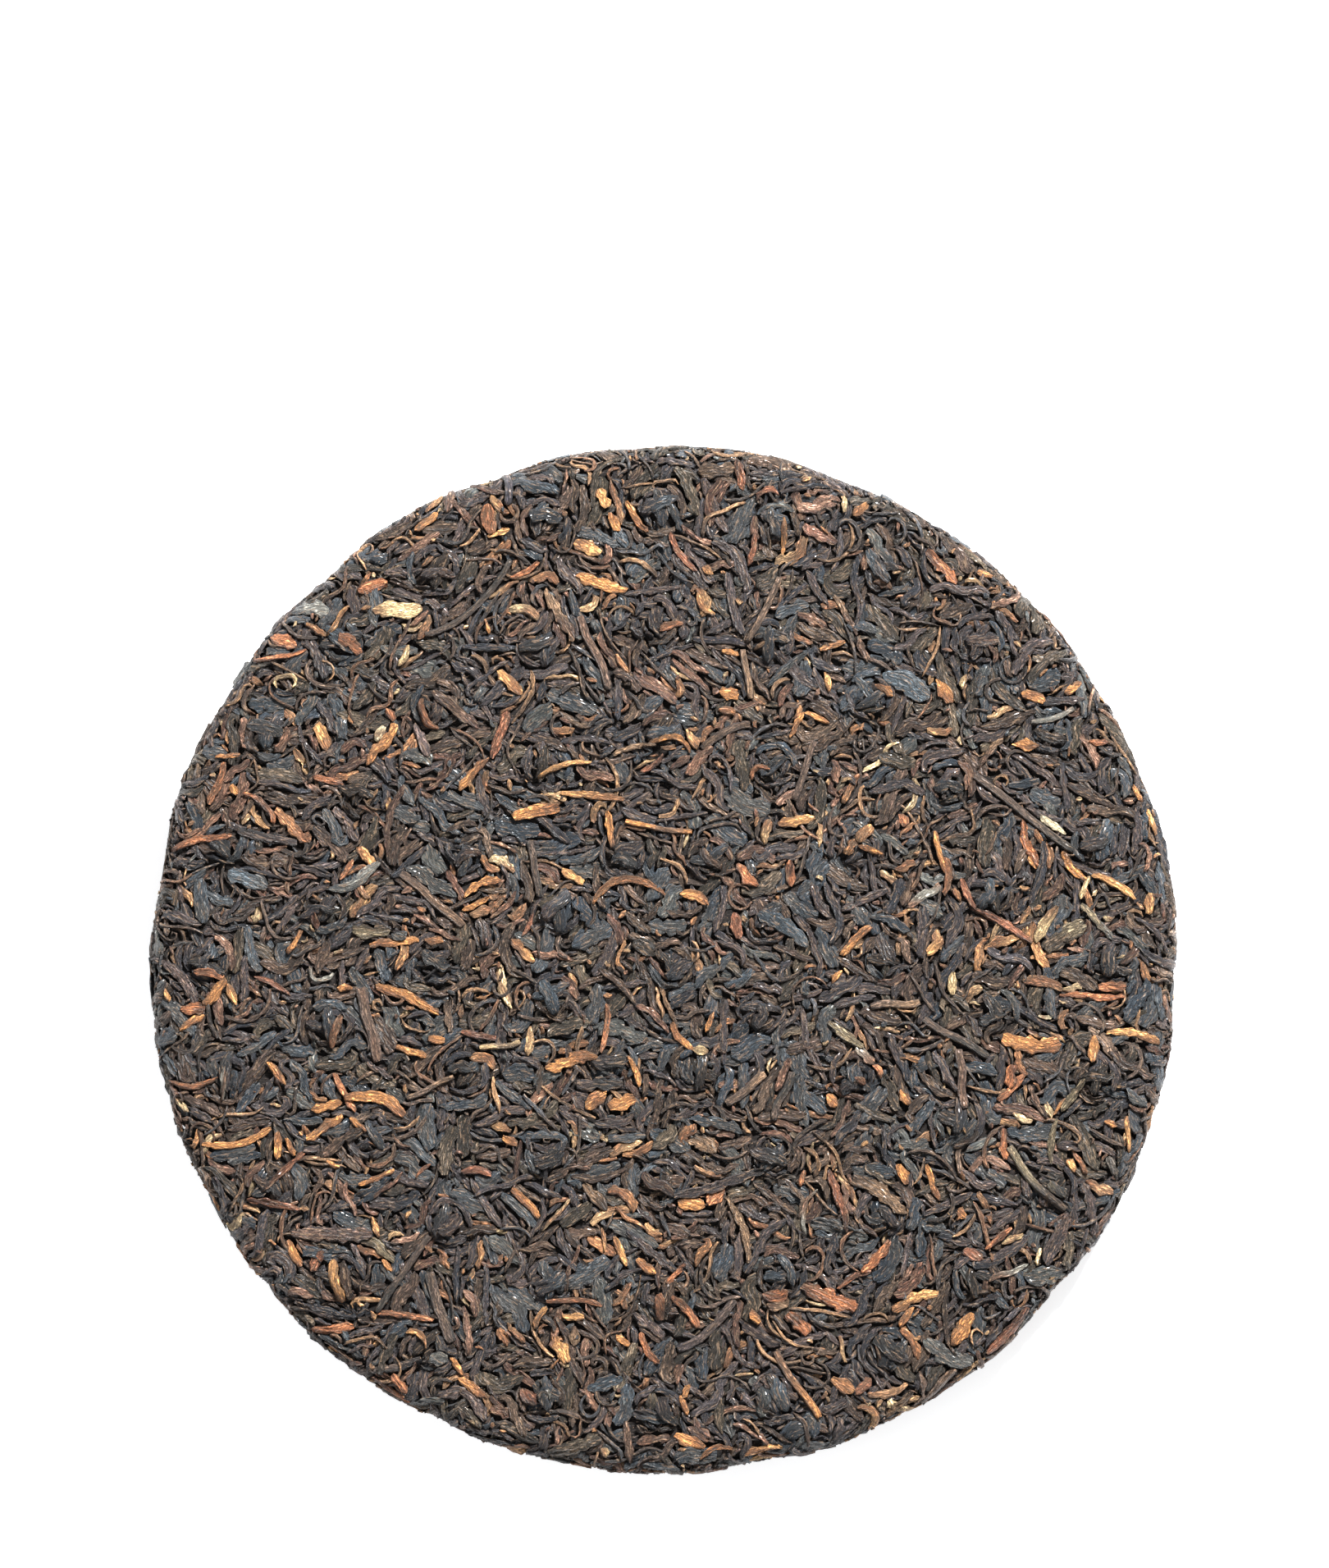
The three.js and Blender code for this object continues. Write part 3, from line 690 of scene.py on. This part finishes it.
        ("honey", 38.1, 23.1, 39.6, 26.6, 3.0, 0), ("amber", 35.3, 20.8, 37.2, 23.7, 2.2, 0),
        ("amber", 37.8, 22.4, 42.6, 20.8, 1.2, 0), ("honey", 22.1, 26.6, 29.2, 27.9, 2.0, 0),
        ("copper", 46.2, 28.5, 46.8, 26.0, 2.2, 0), ("amber", 3.2, 13.1, 8.7, 10.9, 2.0, -1.0),
        ("amber", 40.1, 6.7, 34.3, 1.0, 1.6, 0.3), ("straw", 36.2, 2.9, 38.8, 4.2, 2.2, 0),
        ("honey", 51.0, 1.6, 54.2, 4.2, 2.2, 0), ("ash", 47.1, 11.2, 53.5, 15.1, 1.8, 0.4),
        ("copper", 55.1, 20.1, 54.2, 13.1, 1.6, -0.7), ("amber", 52.6, 25.3, 55.4, 16.3, 1.2, 0.4),
        ("amber", 77.9, 52.2, 81.7, 54.2, 1.8, 0), ("amber", 68.3, 42.6, 72.1, 41.3, 2.4, 0),
        ("honey", 94.6, 29.2, 96.5, 24.7, 1.6, -0.4), ("amber", 69.6, 51.6, 74.0, 50.3, 2.2, -0.8),
        ("amber", 91.3, 34.3, 93.3, 31.1, 1.4, 0), ("straw", 76.3, 10.6, 72.1, 3.5, 2.2, 0.3),
        ("honey", 83.0, 16.7, 91.3, 11.9, 1.6, -0.7), ("straw", 82.4, 16.4, 80.8, 11.9, 1.4, 0),
        ("honey", 93.9, 13.1, 94.6, 9.3, 2.6, 0), ("amber", 71.2, 20.8, 72.4, 17.8, 1.8, 0),
        ("amber", -85.1, -3.5, -89.6, -8.7, 2.0, -0.3), ("copper", -91.2, -1.6, -85.1, -3.2, 1.6, -0.3),
        ("honey", -84.7, -4.5, -83.1, -8.7, 1.6, 0), ("honey", -96.9, -5.4, -96.0, -8.0, 1.4, 0.6),
        ("amber", -94.0, -13.5, -89.2, -10.6, 1.6, -0.5), ("amber", -63.3, -5.1, -60.4, -5.4, 1.4, 0),
        ("amber", -55.9, -4.8, -43.7, -9.9, 2.0, -0.3), ("copper", -62.6, -10.6, -64.6, -17.0, 1.8, 0.4),
        ("amber", -52.1, -16.7, -46.0, -18.6, 1.4, 0), ("amber", -45.6, -15.1, -42.4, -15.4, 1.8, 0),
        ("amber", -22.9, -20.8, -13.3, -17.6, 2.4, 0), ("copper", -11.0, -8.3, -12.3, -17.6, 1.2, -0.4),
        ("amber", -7.2, -18.6, -4.9, -24.7, 1.3, -0.7), ("amber", -15.2, -27.9, -11.0, -25.6, 3.0, 0),
        ("amber", -10.7, -28.5, -5.6, -26.6, 2.6, 0), ("amber", -68.4, -28.8, -62.3, -27.6, 1.8, 0),
        ("amber", -61.7, -26.6, -50.1, -29.8, 2.4, -1.2), ("copper", -63.9, -21.8, -59.7, -29.2, 1.4, 0.3),
        ("amber", -77.1, -19.6, -73.5, -24.0, 1.6, -0.2), ("copper", -97.2, -24.0, -86.3, -23.1, 1.3, 0.6),
        ("ash", -85.4, -20.8, -85.7, -27.2, 1.2, 0), ("amber", -89.6, -36.2, -75.8, -33.0, 1.4, 0.5),
        ("amber", -75.1, -33.3, -74.8, -38.5, 1.6, 0), ("amber", -73.2, -34.3, -71.9, -37.8, 1.2, 0),
        ("amber", -69.4, -34.3, -62.3, -29.8, 1.8, 0), ("amber", -61.0, -30.4, -57.8, -33.0, 1.4, 0),
        ("amber", -65.5, -39.1, -62.9, -40.1, 1.2, 0), ("amber", -59.4, -43.3, -52.4, -40.4, 1.2, 0.3),
        ("amber", -31.2, -34.3, -28.3, -35.6, 1.8, 0), ("amber", -29.6, -44.2, -24.2, -49.7, 1.6, -0.2),
        ("honey", -9.7, -53.5, -7.2, -59.3, 1.5, 0), ("amber", -5.3, -58.0, -1.7, -60.9, 1.8, 0),
        ("honey", -56.8, -49.7, -55.3, -53.5, 1.2, 0), ("amber", -73.2, -54.2, -70.6, -59.3, 1.8, 0),
        ("honey", -64.2, -58.0, -62.3, -66.3, 2.0, 0.6), ("amber", -54.6, -58.0, -52.7, -60.3, 1.4, 0),
        ("copper", -55.9, -68.9, -45.0, -70.2, 1.3, -0.6), ("honey", -46.3, -75.0, -50.1, -72.1, 1.2, 2.2),
        ("amber", -41.2, -76.9, -39.2, -80.4, 1.3, 0), ("amber", -39.9, -81.0, -34.1, -84.9, 2.0, 0),
        ("honey", -22.9, -67.3, -25.1, -71.5, 1.3, 0.9), ("copper", -22.9, -66.0, -12.0, -67.0, 1.1, -0.5),
        ("honey", -19.7, -68.9, -15.5, -69.2, 1.6, 0), ("honey", -21.3, -72.8, -18.7, -77.9, 2.8, 0),
        ("copper", -4.6, -72.1, -0.8, -77.9, 1.4, 0.9), ("amber", -9.1, -73.4, -6.5, -74.0, 1.8, 0),
        ("straw", -12.0, -94.6, -11.0, -96.5, 2.0, 0), ("copper", -52.7, -80.4, -50.1, -84.3, 1.8, 0),
        ("amber", 1.6, -11.9, 5.8, -17.0, 1.5, 1.0), ("straw", 5.8, -17.0, 8.7, -17.6, 2.0, 0),
        ("amber", 9.6, -9.9, 8.0, -13.8, 1.2, 0), ("copper", -1.6, -65.0, 0.0, -69.6, 2.4, 0),
        ("copper", 1.6, -65.0, 6.7, -71.2, 1.6, -0.5), ("amber", 2.9, -47.1, 8.0, -47.1, 2.8, 0),
        ("copper", 8.7, -47.1, 11.5, -43.3, 3.0, 0), ("amber", 32.7, -4.2, 34.3, -1.6, 1.4, 0),
        ("ash", 37.5, -16.4, 40.6, -20.2, 1.9, 0), ("copper", 40.4, -20.2, 42.0, -22.8, 1.4, -1.8),
        ("copper", 37.5, -22.4, 38.8, -24.0, 1.8, 0), ("amber", 45.8, -25.3, 47.8, -27.9, 1.6, 0),
        ("amber", 31.7, -26.0, 33.7, -28.2, 2.6, 0), ("amber", 65.7, -14.7, 76.9, -15.7, 3.0, 0.8),
        ("amber", 83.7, -14.4, 83.0, -19.6, 2.0, 0), ("honey", 85.9, -13.8, 96.4, -16.0, 1.6, -0.7),
        ("copper", 84.3, -5.1, 89.7, -4.8, 2.2, 0), ("straw", 56.1, -2.2, 55.8, -6.7, 1.8, 0),
        ("cream", 72.8, -10.6, 75.3, -11.2, 1.1, 0), ("copper", 69.6, -22.1, 64.7, -27.2, 1.6, -0.4),
        ("amber", 77.9, -26.6, 75.6, -29.8, 0.9, 0), ("honey", 89.7, -30.1, 90.7, -37.2, 1.2, 0),
        ("amber", 85.6, -31.1, 88.1, -32.0, 1.6, 0), ("honey", 78.2, -38.8, 80.1, -40.7, 1.6, 0),
        ("amber", 51.0, -39.4, 53.5, -46.5, 1.3, 0.3), ("amber", 45.5, -39.4, 47.1, -43.3, 2.0, 0),
        ("copper", 27.2, -40.7, 26.3, -43.9, 1.2, 0), ("ash", 29.8, -44.2, 27.6, -52.9, 1.0, 1.4),
        ("honey", 44.2, -67.6, 53.2, -64.4, 2.0, -0.5), ("amber", 48.4, -67.3, 45.8, -71.2, 1.6, 0.3),
        ("amber", 45.8, -71.2, 49.4, -77.2, 1.6, -0.9), ("amber", 59.9, -68.3, 56.1, -74.7, 3.0, 0),
        ("amber", 16.7, -68.9, 18.9, -69.6, 2.2, 0), ("honey", 32.7, -81.0, 36.9, -83.7, 2.6, 0),
        ("rust", 37.2, -84.0, 40.4, -81.0, 2.0, 0), ("amber", 5.1, -82.4, 3.5, -85.0, 1.4, 0.3),
        ("amber", 3.2, -84.3, 4.5, -88.1, 1.3, 0), ("amber", 2.2, -92.0, 8.0, -94.6, 2.4, 0),
        ("amber", 7.1, -96.9, 13.5, -94.8, 1.2, -1.6), ("honey", 15.7, -96.6, 23.1, -95.0, 1.6, -0.8),
        ("straw", 13.8, -80.4, 17.3, -80.1, 0.8, 0), ("straw", 65.7, -54.8, 69.9, -52.9, 1.2, 0),
        ("ash", 63.1, -61.9, 70.8, -59.3, 1.2, 0), ("amber", 57.1, -48.4, 58.7, -49.7, 2.0, 0),
    ],
    "curled_strand": [
        ("copper", -80.6, 59.0, -69.4, 60.6, 1.1, 0.5), ("straw", -75.1, 52.6, -71.9, 52.6, 1.0, -4.2),
        ("copper", -81.9, 32.4, -75.8, 26.6, 1.3, -1.3), ("cream", 73.1, 28.2, 78.2, 24.7, 1.5, 0.2),
        ("ash", -68.7, -1.0, -64.2, -2.2, 1.0, 3.0), ("ash", -24.2, -84.9, -22.0, -84.9, 1.1, -4.0),
        ("copper", -48.2, -42.0, -45.3, -39.4, 1.0, -0.6),
    ],
}
TOP_KINDS = ["charcoal_leaf", "slate_leaf", "brown_leaf"]
FOOT_KINDS = ["charcoal_leaf", "brown_leaf", "slate_leaf", "russet_leaf"]


def arc_leaf(kind, tone, x0, y0, x1, y1, width, bend, **given):
    """A leaf from one place to another along an arc."""
    chord = math.hypot(x1 - x0, y1 - y0)
    heading = math.atan2(y1 - y0, x1 - x0)
    bulge = chord / 2 * math.tan(bend / 4)
    length = chord * (bend / 2 / math.sin(bend / 2) if bend else 1)
    x = (x0 + x1) / 2 + bulge * math.sin(heading)
    y = (y0 + y1) / 2 - bulge * math.cos(heading)
    return draw_leaf(
        kind, x, y, heading, length=length, width=width, bend=bend, hook=0.0,
        sway=rng.normal(0, 0.12), tone=tone, roll=rng.normal(0, 0.08), **given,
    )


def lay_landmarks(bed):
    """Lays the leaves that the photo shows at their places."""
    for kind, rows in LANDMARKS.items():
        for row in rows:
            lay_here(bed, arc_leaf(kind, *row, level=rng.uniform(-0.05, 0.15)))


def lay_nubs(bed):
    """A nub has two leaves balled on top and four curled round its foot."""
    for x, y in NUBS:
        start = rng.uniform(0, 2 * math.pi)
        for k in range(2):
            kind = rng.choice(TOP_KINDS, p=[0.5, 0.3, 0.2])
            shift = rng.normal(0, 0.8, 2)
            # The leaves balled on top of a nub take dark tones, as painted shade on the nub.
            leaf = draw_leaf(
                kind, x + shift[0], y + shift[1], start + k * rng.uniform(0.6, 1.6),
                length=rng.uniform(5.5, 8), width=rng.uniform(2.0, 3.2), level=0.15 - 0.3 * k,
                tone=rng.choice(["soot", "slate", "umber"], p=[0.6, 0.25, 0.15]),
            )
            lay_here(bed, leaf)
        for k in range(4):
            angle = start + k * math.pi / 2 + rng.normal(0, 0.25)
            reach = NUB_RADIUS * rng.uniform(0.75, 1.1)
            kind = rng.choice(FOOT_KINDS, p=[0.5, 0.25, 0.15, 0.1])
            length = rng.uniform(4.5, 8)
            leaf = draw_leaf(
                kind, x + reach * math.cos(angle), y + reach * math.sin(angle), angle + math.pi / 2,
                length=length, width=rng.uniform(1.2, 2.0), bend=length / reach * 0.8, hook=0.0,
            )
            lay_here(bed, leaf)


def lay_on_top(bed, count, kinds, **ranges):
    """Small leaves that lie over all the others. Each given size is drawn from its range."""
    for _ in range(count):
        reach, angle = WAIST_REACH * math.sqrt(rng.random()), rng.uniform(0, 2 * math.pi)
        x, y = reach * math.cos(angle), reach * math.sin(angle)
        if bed["under"][cells(np.array(x), np.array(y))] < np.inf:
            continue
        sizes = {name: rng.uniform(*span) for name, span in ranges.items()}
        lay_here(bed, draw_leaf(rng.choice(kinds), x, y, rng.uniform(0, 2 * math.pi), **sizes))


# %% The face's leaves
STRANDS = 330
CRUMBS = 800
# The scale of the leaves, the share of a leaf that must lie free, the tries and the holes to stop at.
FACE_PHASES = [
    (1.15, 0.75, 4000, 0.25), (1.0, 0.55, 4000, 0.12), (0.8, 0.4, 4000, 0.05), (0.6, 0.3, 2500, 0.02),
    (0.4, 0.25, 2000, 0.01),
]
face = new_bed(1)
lay_landmarks(face)
lay_nubs(face)
lay_on_top(face, STRANDS, ["curled_strand"], length=(5, 13), width=(0.5, 1.0), level=(-0.1, 0.1))
lay_on_top(
    face, CRUMBS, ["golden_bud", "golden_bud", "russet_leaf", "brown_leaf", "slate_leaf"],
    length=(0.9, 2.2), width=(0.5, 1.1), level=(-0.05, 0.12), thick=(0.25, 0.4), deep=(0.0, 0.1),
)
for phase in FACE_PHASES:
    fill(face, *phase)

# %% [markdown]
# ## The back
#
# The other plate is plain, so the back has no nubs, and its broader leaves lie on one plane. It is
# seldom seen, so its meshes are coarser and its leaves flatter.

# %% The back's leaves
BACK_PHASES = [
    (1.5, 0.7, 2500, 0.25), (1.25, 0.5, 2500, 0.1), (0.9, 0.35, 2000, 0.04), (0.55, 0.3, 1500, 0.02),
]
back = new_bed(-1)
for phase in BACK_PHASES:
    fill(back, *phase)


def press_flatter(bed):
    """Evens out the leaves of a bed and makes their meshes coarser."""
    for leaves in bed["leaves"].values():
        for leaf in leaves:
            leaf["heights"] = leaf["heights"] * 0.7
            leaf["pace"] = BACK_PACE
            leaf["roll"] *= 0.4


press_flatter(back)

# %% [markdown]
# ## The core
#
# Under the leaves lies the dark pressed tea. Only a little of it shows, in the gaps. It is two round
# lattices, one for each side, joined at the waist.

# %% Core
CORE_STEPS = 90
CORE_DEPTH = 1.7
CORE_RIPPLE = 0.25
RIPPLE_LENGTH = 3.0


def ripple(x, y, length, seed):
    """An uneven surface: a few waves of about this length in mixed directions."""
    chance = np.random.default_rng(seed)
    total = np.zeros_like(x)
    for _ in range(9):
        angle, phase = chance.uniform(0, 2 * math.pi, 2)
        size = 2 * math.pi / (length * chance.uniform(0.7, 1.5))
        total += np.sin((x * math.cos(angle) + y * math.sin(angle)) * size + phase)
    return total / 3


def disc_lattice(steps):
    """A square lattice of points squeezed into a disc of radius 1."""
    axis = np.linspace(-1, 1, steps + 1)
    a, b = np.meshgrid(axis, axis, indexing="ij")
    wide = np.abs(a) >= np.abs(b)
    reach = np.where(wide, a, b)
    other = np.where(wide, b, a)
    share = np.divide(other, reach, out=np.zeros_like(other), where=reach != 0)
    angle = np.where(wide, share * math.pi / 4, math.pi / 2 - share * math.pi / 4)
    return reach * np.cos(angle), reach * np.sin(angle)


def core_mesh():
    """Two lattices, whose edge points are shared at the waist."""
    unit_x, unit_y = disc_lattice(CORE_STEPS)
    count = CORE_STEPS + 1
    index = np.arange(count * count).reshape(count, count)
    a, b = index[:-1, :-1].ravel(), index[1:, :-1].ravel()
    c, d = index[1:, 1:].ravel(), index[:-1, 1:].ravel()
    triangles = np.concatenate([np.stack([a, b, c], 1), np.stack([a, c, d], 1)])
    sheets = []
    for side in (1, -1):
        x, y = unit_x.ravel() * WAIST_REACH, unit_y.ravel() * WAIST_REACH
        lift = -CORE_DEPTH + CORE_RIPPLE * ripple(x, y, RIPPLE_LENGTH, 5 + side)
        lift = np.where(np.hypot(x, y) > WAIST_REACH - 0.01, -CORE_DEPTH, lift)
        sheets.append(on_skin(side, x, y, lift))
    points = np.concatenate(sheets)
    below = triangles[:, ::-1] + count * count
    edge = np.hypot(unit_x.ravel(), unit_y.ravel()) > 1 - 1e-9
    join = np.arange(2 * count * count)
    join[count * count:][edge] = np.flatnonzero(edge)
    both = join[np.concatenate([triangles, below])]
    tones = np.tile(linear("#241b16"), (len(points), 1))
    return make_mesh("pressed_core", points, both, tones, points[:, :2])


core = core_mesh()
print("core", len(core.data.polygons), "triangles")

# %% [markdown]
# ## Materials
#
# All leaves share one recipe. The tone gives the colour, and four noises vary it. One, drawn out along the
# leaf, makes its wrinkles, which drive the bump and paint light on their crests and shade in their
# hollows. One makes stains, one makes pale streaks of painted highlight, and one makes specks of dust.
#
# The grain is in millimetres, and a noise's scale is one over the size of its pattern.

# %% Node helper
def add_node(tree, kind, inputs=None, **settings):
    """Adds a node, sets it up and links or fills its inputs."""
    node = tree.nodes.new(kind)
    for name, value in settings.items():
        setattr(node, name, value)
    for name, value in (inputs or {}).items():
        if isinstance(value, bpy.types.NodeSocket):
            tree.links.new(value, node.inputs[name])
        else:
            node.inputs[name].default_value = value
    return node


# %% Leaf materials
# Wrinkles are 1.8 mm long and 0.43 mm wide, and the streaks of painted highlight are 2.5 mm long and 0.45
# mm wide.
WRINKLE_SCALE = (0.55, 2.3, 1.0)
STREAK_SCALE = (0.4, 2.2, 1.0)
# Stains are 0.77 mm and specks of dust 0.43 mm across.
STAIN_SCALE = 1.3
DUST_SCALE = 2.3
WRINKLE_HEIGHT = 0.0006
LEAF_IOR = 1.45
# The pale tan of the painted highlight streaks and of the specks of dust.
PALE_DUST_AND_HIGHLIGHT = "#aa8c70"


def leaf_material(name, rough, sheen, sheen_tint, bump, stain, streak_highlight):
    """Dried leaf. stain is how far stains vary the colour; the last argument is how pale the streaks of
    painted highlight are.
    """
    material = bpy.data.materials.new(name)
    material.use_nodes = True
    tree = material.node_tree
    shader = tree.nodes["Principled BSDF"]
    tone = add_node(tree, "ShaderNodeAttribute", attribute_name="tone")
    grain = add_node(tree, "ShaderNodeUVMap", uv_map="grain")
    drawn = add_node(tree, "ShaderNodeMapping", {
        "Vector": grain.outputs["UV"], "Scale": WRINKLE_SCALE,
    })
    waves = add_node(tree, "ShaderNodeTexNoise", {
        "Vector": drawn.outputs["Vector"], "Scale": 1.0, "Detail": 4.0, "Roughness": 0.65,
    })
    astride = add_node(tree, "ShaderNodeMath", {0: waves.outputs["Fac"], 1: 0.5}, operation="SUBTRACT")
    wrinkle = add_node(tree, "ShaderNodeMath", {0: astride.outputs["Value"]}, operation="ABSOLUTE")
    blotch = add_node(tree, "ShaderNodeTexNoise", {
        "Vector": grain.outputs["UV"], "Scale": STAIN_SCALE, "Detail": 3.0, "Roughness": 0.7,
    })
    # Painted light and shade: the colour is darkened in the hollows of the wrinkles and lightened on their
    # crests.
    light = add_node(tree, "ShaderNodeMapRange", {
        "Value": wrinkle.outputs["Value"], "From Min": 0.0, "From Max": 0.12,
        "To Min": 0.35, "To Max": 1.5,
    })
    patch = add_node(tree, "ShaderNodeMapRange", {
        "Value": blotch.outputs["Fac"], "From Min": 0.35, "From Max": 0.65,
        "To Min": 1 - stain, "To Max": 1 + stain,
    })
    both = add_node(tree, "ShaderNodeMath", {
        0: light.outputs["Result"], 1: patch.outputs["Result"],
    }, operation="MULTIPLY")
    colour = add_node(tree, "ShaderNodeVectorMath", {
        0: tone.outputs["Color"], "Scale": both.outputs["Value"],
    }, operation="SCALE")
    streak_grain = add_node(tree, "ShaderNodeMapping", {
        "Vector": grain.outputs["UV"], "Location": (31.0, 17.0, 0.0), "Scale": STREAK_SCALE,
    })
    streak = add_node(tree, "ShaderNodeTexNoise", {
        "Vector": streak_grain.outputs["Vector"], "Scale": 1.0, "Detail": 2.0, "Roughness": 0.7,
    })
    # Pale streaks of painted highlight.
    highlight_streaks = add_node(tree, "ShaderNodeMapRange", {
        "Value": streak.outputs["Fac"], "From Min": 0.56, "From Max": 0.65, "To Min": 0.0, "To Max": streak_highlight,
    })
    dust = add_node(tree, "ShaderNodeTexNoise", {
        "Vector": grain.outputs["UV"], "Scale": DUST_SCALE, "Detail": 1.0,
    })
    speck = add_node(tree, "ShaderNodeMapRange", {
        "Value": dust.outputs["Fac"], "From Min": 0.68, "From Max": 0.74, "To Min": 0.0, "To Max": 0.7,
    })
    pale = add_node(tree, "ShaderNodeMath", {
        0: highlight_streaks.outputs["Result"], 1: speck.outputs["Result"],
    }, operation="MAXIMUM")
    colour = add_node(tree, "ShaderNodeMix", {
        "Factor": pale.outputs["Value"], "A": colour.outputs["Vector"], "B": (*linear(PALE_DUST_AND_HIGHLIGHT), 1),
    }, data_type="RGBA")
    gloss = add_node(tree, "ShaderNodeMapRange", {
        "Value": wrinkle.outputs["Value"], "From Min": 0.0, "From Max": 0.12,
        "To Min": rough + 0.15, "To Max": rough - 0.05,
    })
    relief = add_node(tree, "ShaderNodeBump", {
        "Height": light.outputs["Result"], "Strength": bump, "Distance": WRINKLE_HEIGHT,
    })
    tree.links.new(colour.outputs["Result"], shader.inputs["Base Color"])
    tree.links.new(gloss.outputs["Result"], shader.inputs["Roughness"])
    tree.links.new(relief.outputs["Normal"], shader.inputs["Normal"])
    shader.inputs["IOR"].default_value = LEAF_IOR
    shader.inputs["Sheen Weight"].default_value = sheen
    shader.inputs["Sheen Roughness"].default_value = 0.4
    shader.inputs["Sheen Tint"].default_value = (*linear(sheen_tint), 1)
    return material


# Name, roughness, sheen, tint of the sheen, strength of the bump, stain and paleness of the painted
# highlight streaks. Charcoal and slate leaves were pressed hard and shine a little, with a cool sheen.
# Olive and brown ones are duller.
# Russet leaves, strands and twigs are dry and rough, and buds are covered in down, so they are dull.
FINISHES = {
    "charcoal_leaf": ("charcoal_tea_leaf", 0.33, 0.08, "#a9b6c6", 1.0, 0.3, 0.55),
    "olive_leaf": ("olive_tea_leaf", 0.36, 0.05, "#b8b8a8", 1.0, 0.3, 0.6),
    "slate_leaf": ("slate_tea_leaf", 0.32, 0.12, "#9fb2c8", 0.9, 0.3, 0.45),
    "brown_leaf": ("brown_tea_leaf", 0.36, 0.05, "#c4b6a8", 1.0, 0.35, 0.55),
    "russet_leaf": ("russet_tea_leaf", 0.45, 0.04, "#d0b8a0", 0.9, 0.35, 0.5),
    "golden_bud": ("golden_tea_bud", 0.55, 0.1, "#e6d2b0", 0.9, 0.3, 0.3),
    "curled_strand": ("curled_tea_strand", 0.42, 0.05, "#c4b6a8", 0.8, 0.3, 0.5),
    "tea_twig": ("tea_twig_bark", 0.42, 0.05, "#b0b4ba", 0.8, 0.25, 0.3),
}
MATERIALS = {kind: leaf_material(*row) for kind, row in FINISHES.items()}
# The core is pressed dust and broken leaf, quite matt.
CORE_MATERIAL = leaf_material("pressed_tea_core", 0.8, 0.0, "#ffffff", 1.0, 0.3, 0.0)

# %% Dress the cake
pieces = []
for bed, tag in ((face, "face"), (back, "back")):
    for kind, leaves in bed["leaves"].items():
        if leaves:
            piece = piece_from(f"{kind}_{tag}", bed["side"], leaves)
            piece.data.materials.append(MATERIALS[kind])
            pieces.append(piece)
core.data.materials.append(CORE_MATERIAL)
pieces.append(core)
for piece in pieces:
    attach(piece, "root")
    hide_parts("tea_cake")
print("triangles in all:", sum(len(p.data.polygons) for p in pieces))

# %% [markdown]
# ## Floor, light and camera
#
# The photo looks straight down at the cake on pure white, without a shadow, so the floor is a light
# table. The light is soft and comes from the top of the picture, slightly from the right.

# %% Floor
FLOOR_REACH = 3.0


def make_floor():
    """A wide white floor that glows like a light table."""
    mesh = bpy.data.meshes.new("floor")
    corners = [(a * FLOOR_REACH, b * FLOOR_REACH, 0) for a, b in ((-1, -1), (1, -1), (1, 1), (-1, 1))]
    mesh.from_pydata(corners, [], [(0, 1, 2, 3)])
    floor = bpy.data.objects.new("floor", mesh)
    bpy.context.collection.objects.link(floor)
    material = bpy.data.materials.new("light_table")
    material.use_nodes = True
    shader = material.node_tree.nodes["Principled BSDF"]
    shader.inputs["Base Color"].default_value = (0.9, 0.9, 0.9, 1)
    shader.inputs["Roughness"].default_value = 0.9
    shader.inputs["Emission Color"].default_value = (1, 1, 1, 1)
    shader.inputs["Emission Strength"].default_value = 0.6
    mesh.materials.append(material)


make_floor()


# %% Light
def area_light(name, place, size, power):
    """A square white light that looks at the middle of the floor."""
    light = bpy.data.lights.new(name, "AREA")
    light.size = size
    light.energy = power
    lamp = bpy.data.objects.new(name, light)
    lamp.location = place
    lamp.rotation_euler = (Vector((0, 0, 0)) - Vector(place)).to_track_quat("-Z", "Y").to_euler()
    bpy.context.collection.objects.link(lamp)


area_light("window", (0.38, 0.85, 0.85), 0.2, 74)
area_light("fill", (-0.6, -0.5, 1.2), 1.2, 6)
world = bpy.data.worlds.new("studio")
world.use_nodes = True
world.node_tree.nodes["Background"].inputs["Color"].default_value = (0.95, 0.97, 1.0, 1)
world.node_tree.nodes["Background"].inputs["Strength"].default_value = 0.36
bpy.context.scene.world = world
bpy.context.scene.view_settings.view_transform = "Standard"

# %% Camera
PHOTO_WIDTH = 1620
PHOTO_HEIGHT = 1911
MM_A_PIXEL = 0.16
CAKE_MIDDLE = (809.5, 1170.5)
CAMERA_HEIGHT = 1.5
# The outline of the cake in the photo is that of its widest level, a little over half its height.
OUTLINE_LEVEL = THICKNESS * 0.55 / 1000
SENSOR = 36

camera_data = bpy.data.cameras.new("camera")
camera = bpy.data.objects.new("camera", camera_data)
bpy.context.collection.objects.link(camera)
seen_height = PHOTO_HEIGHT * MM_A_PIXEL / 1000
camera_data.sensor_width = SENSOR
camera_data.lens = SENSOR * (CAMERA_HEIGHT - OUTLINE_LEVEL) / seen_height
camera.location = (
    (PHOTO_WIDTH / 2 - CAKE_MIDDLE[0]) * MM_A_PIXEL / 1000,
    (CAKE_MIDDLE[1] - PHOTO_HEIGHT / 2) * MM_A_PIXEL / 1000,
    CAMERA_HEIGHT,
)
bpy.context.scene.camera = camera
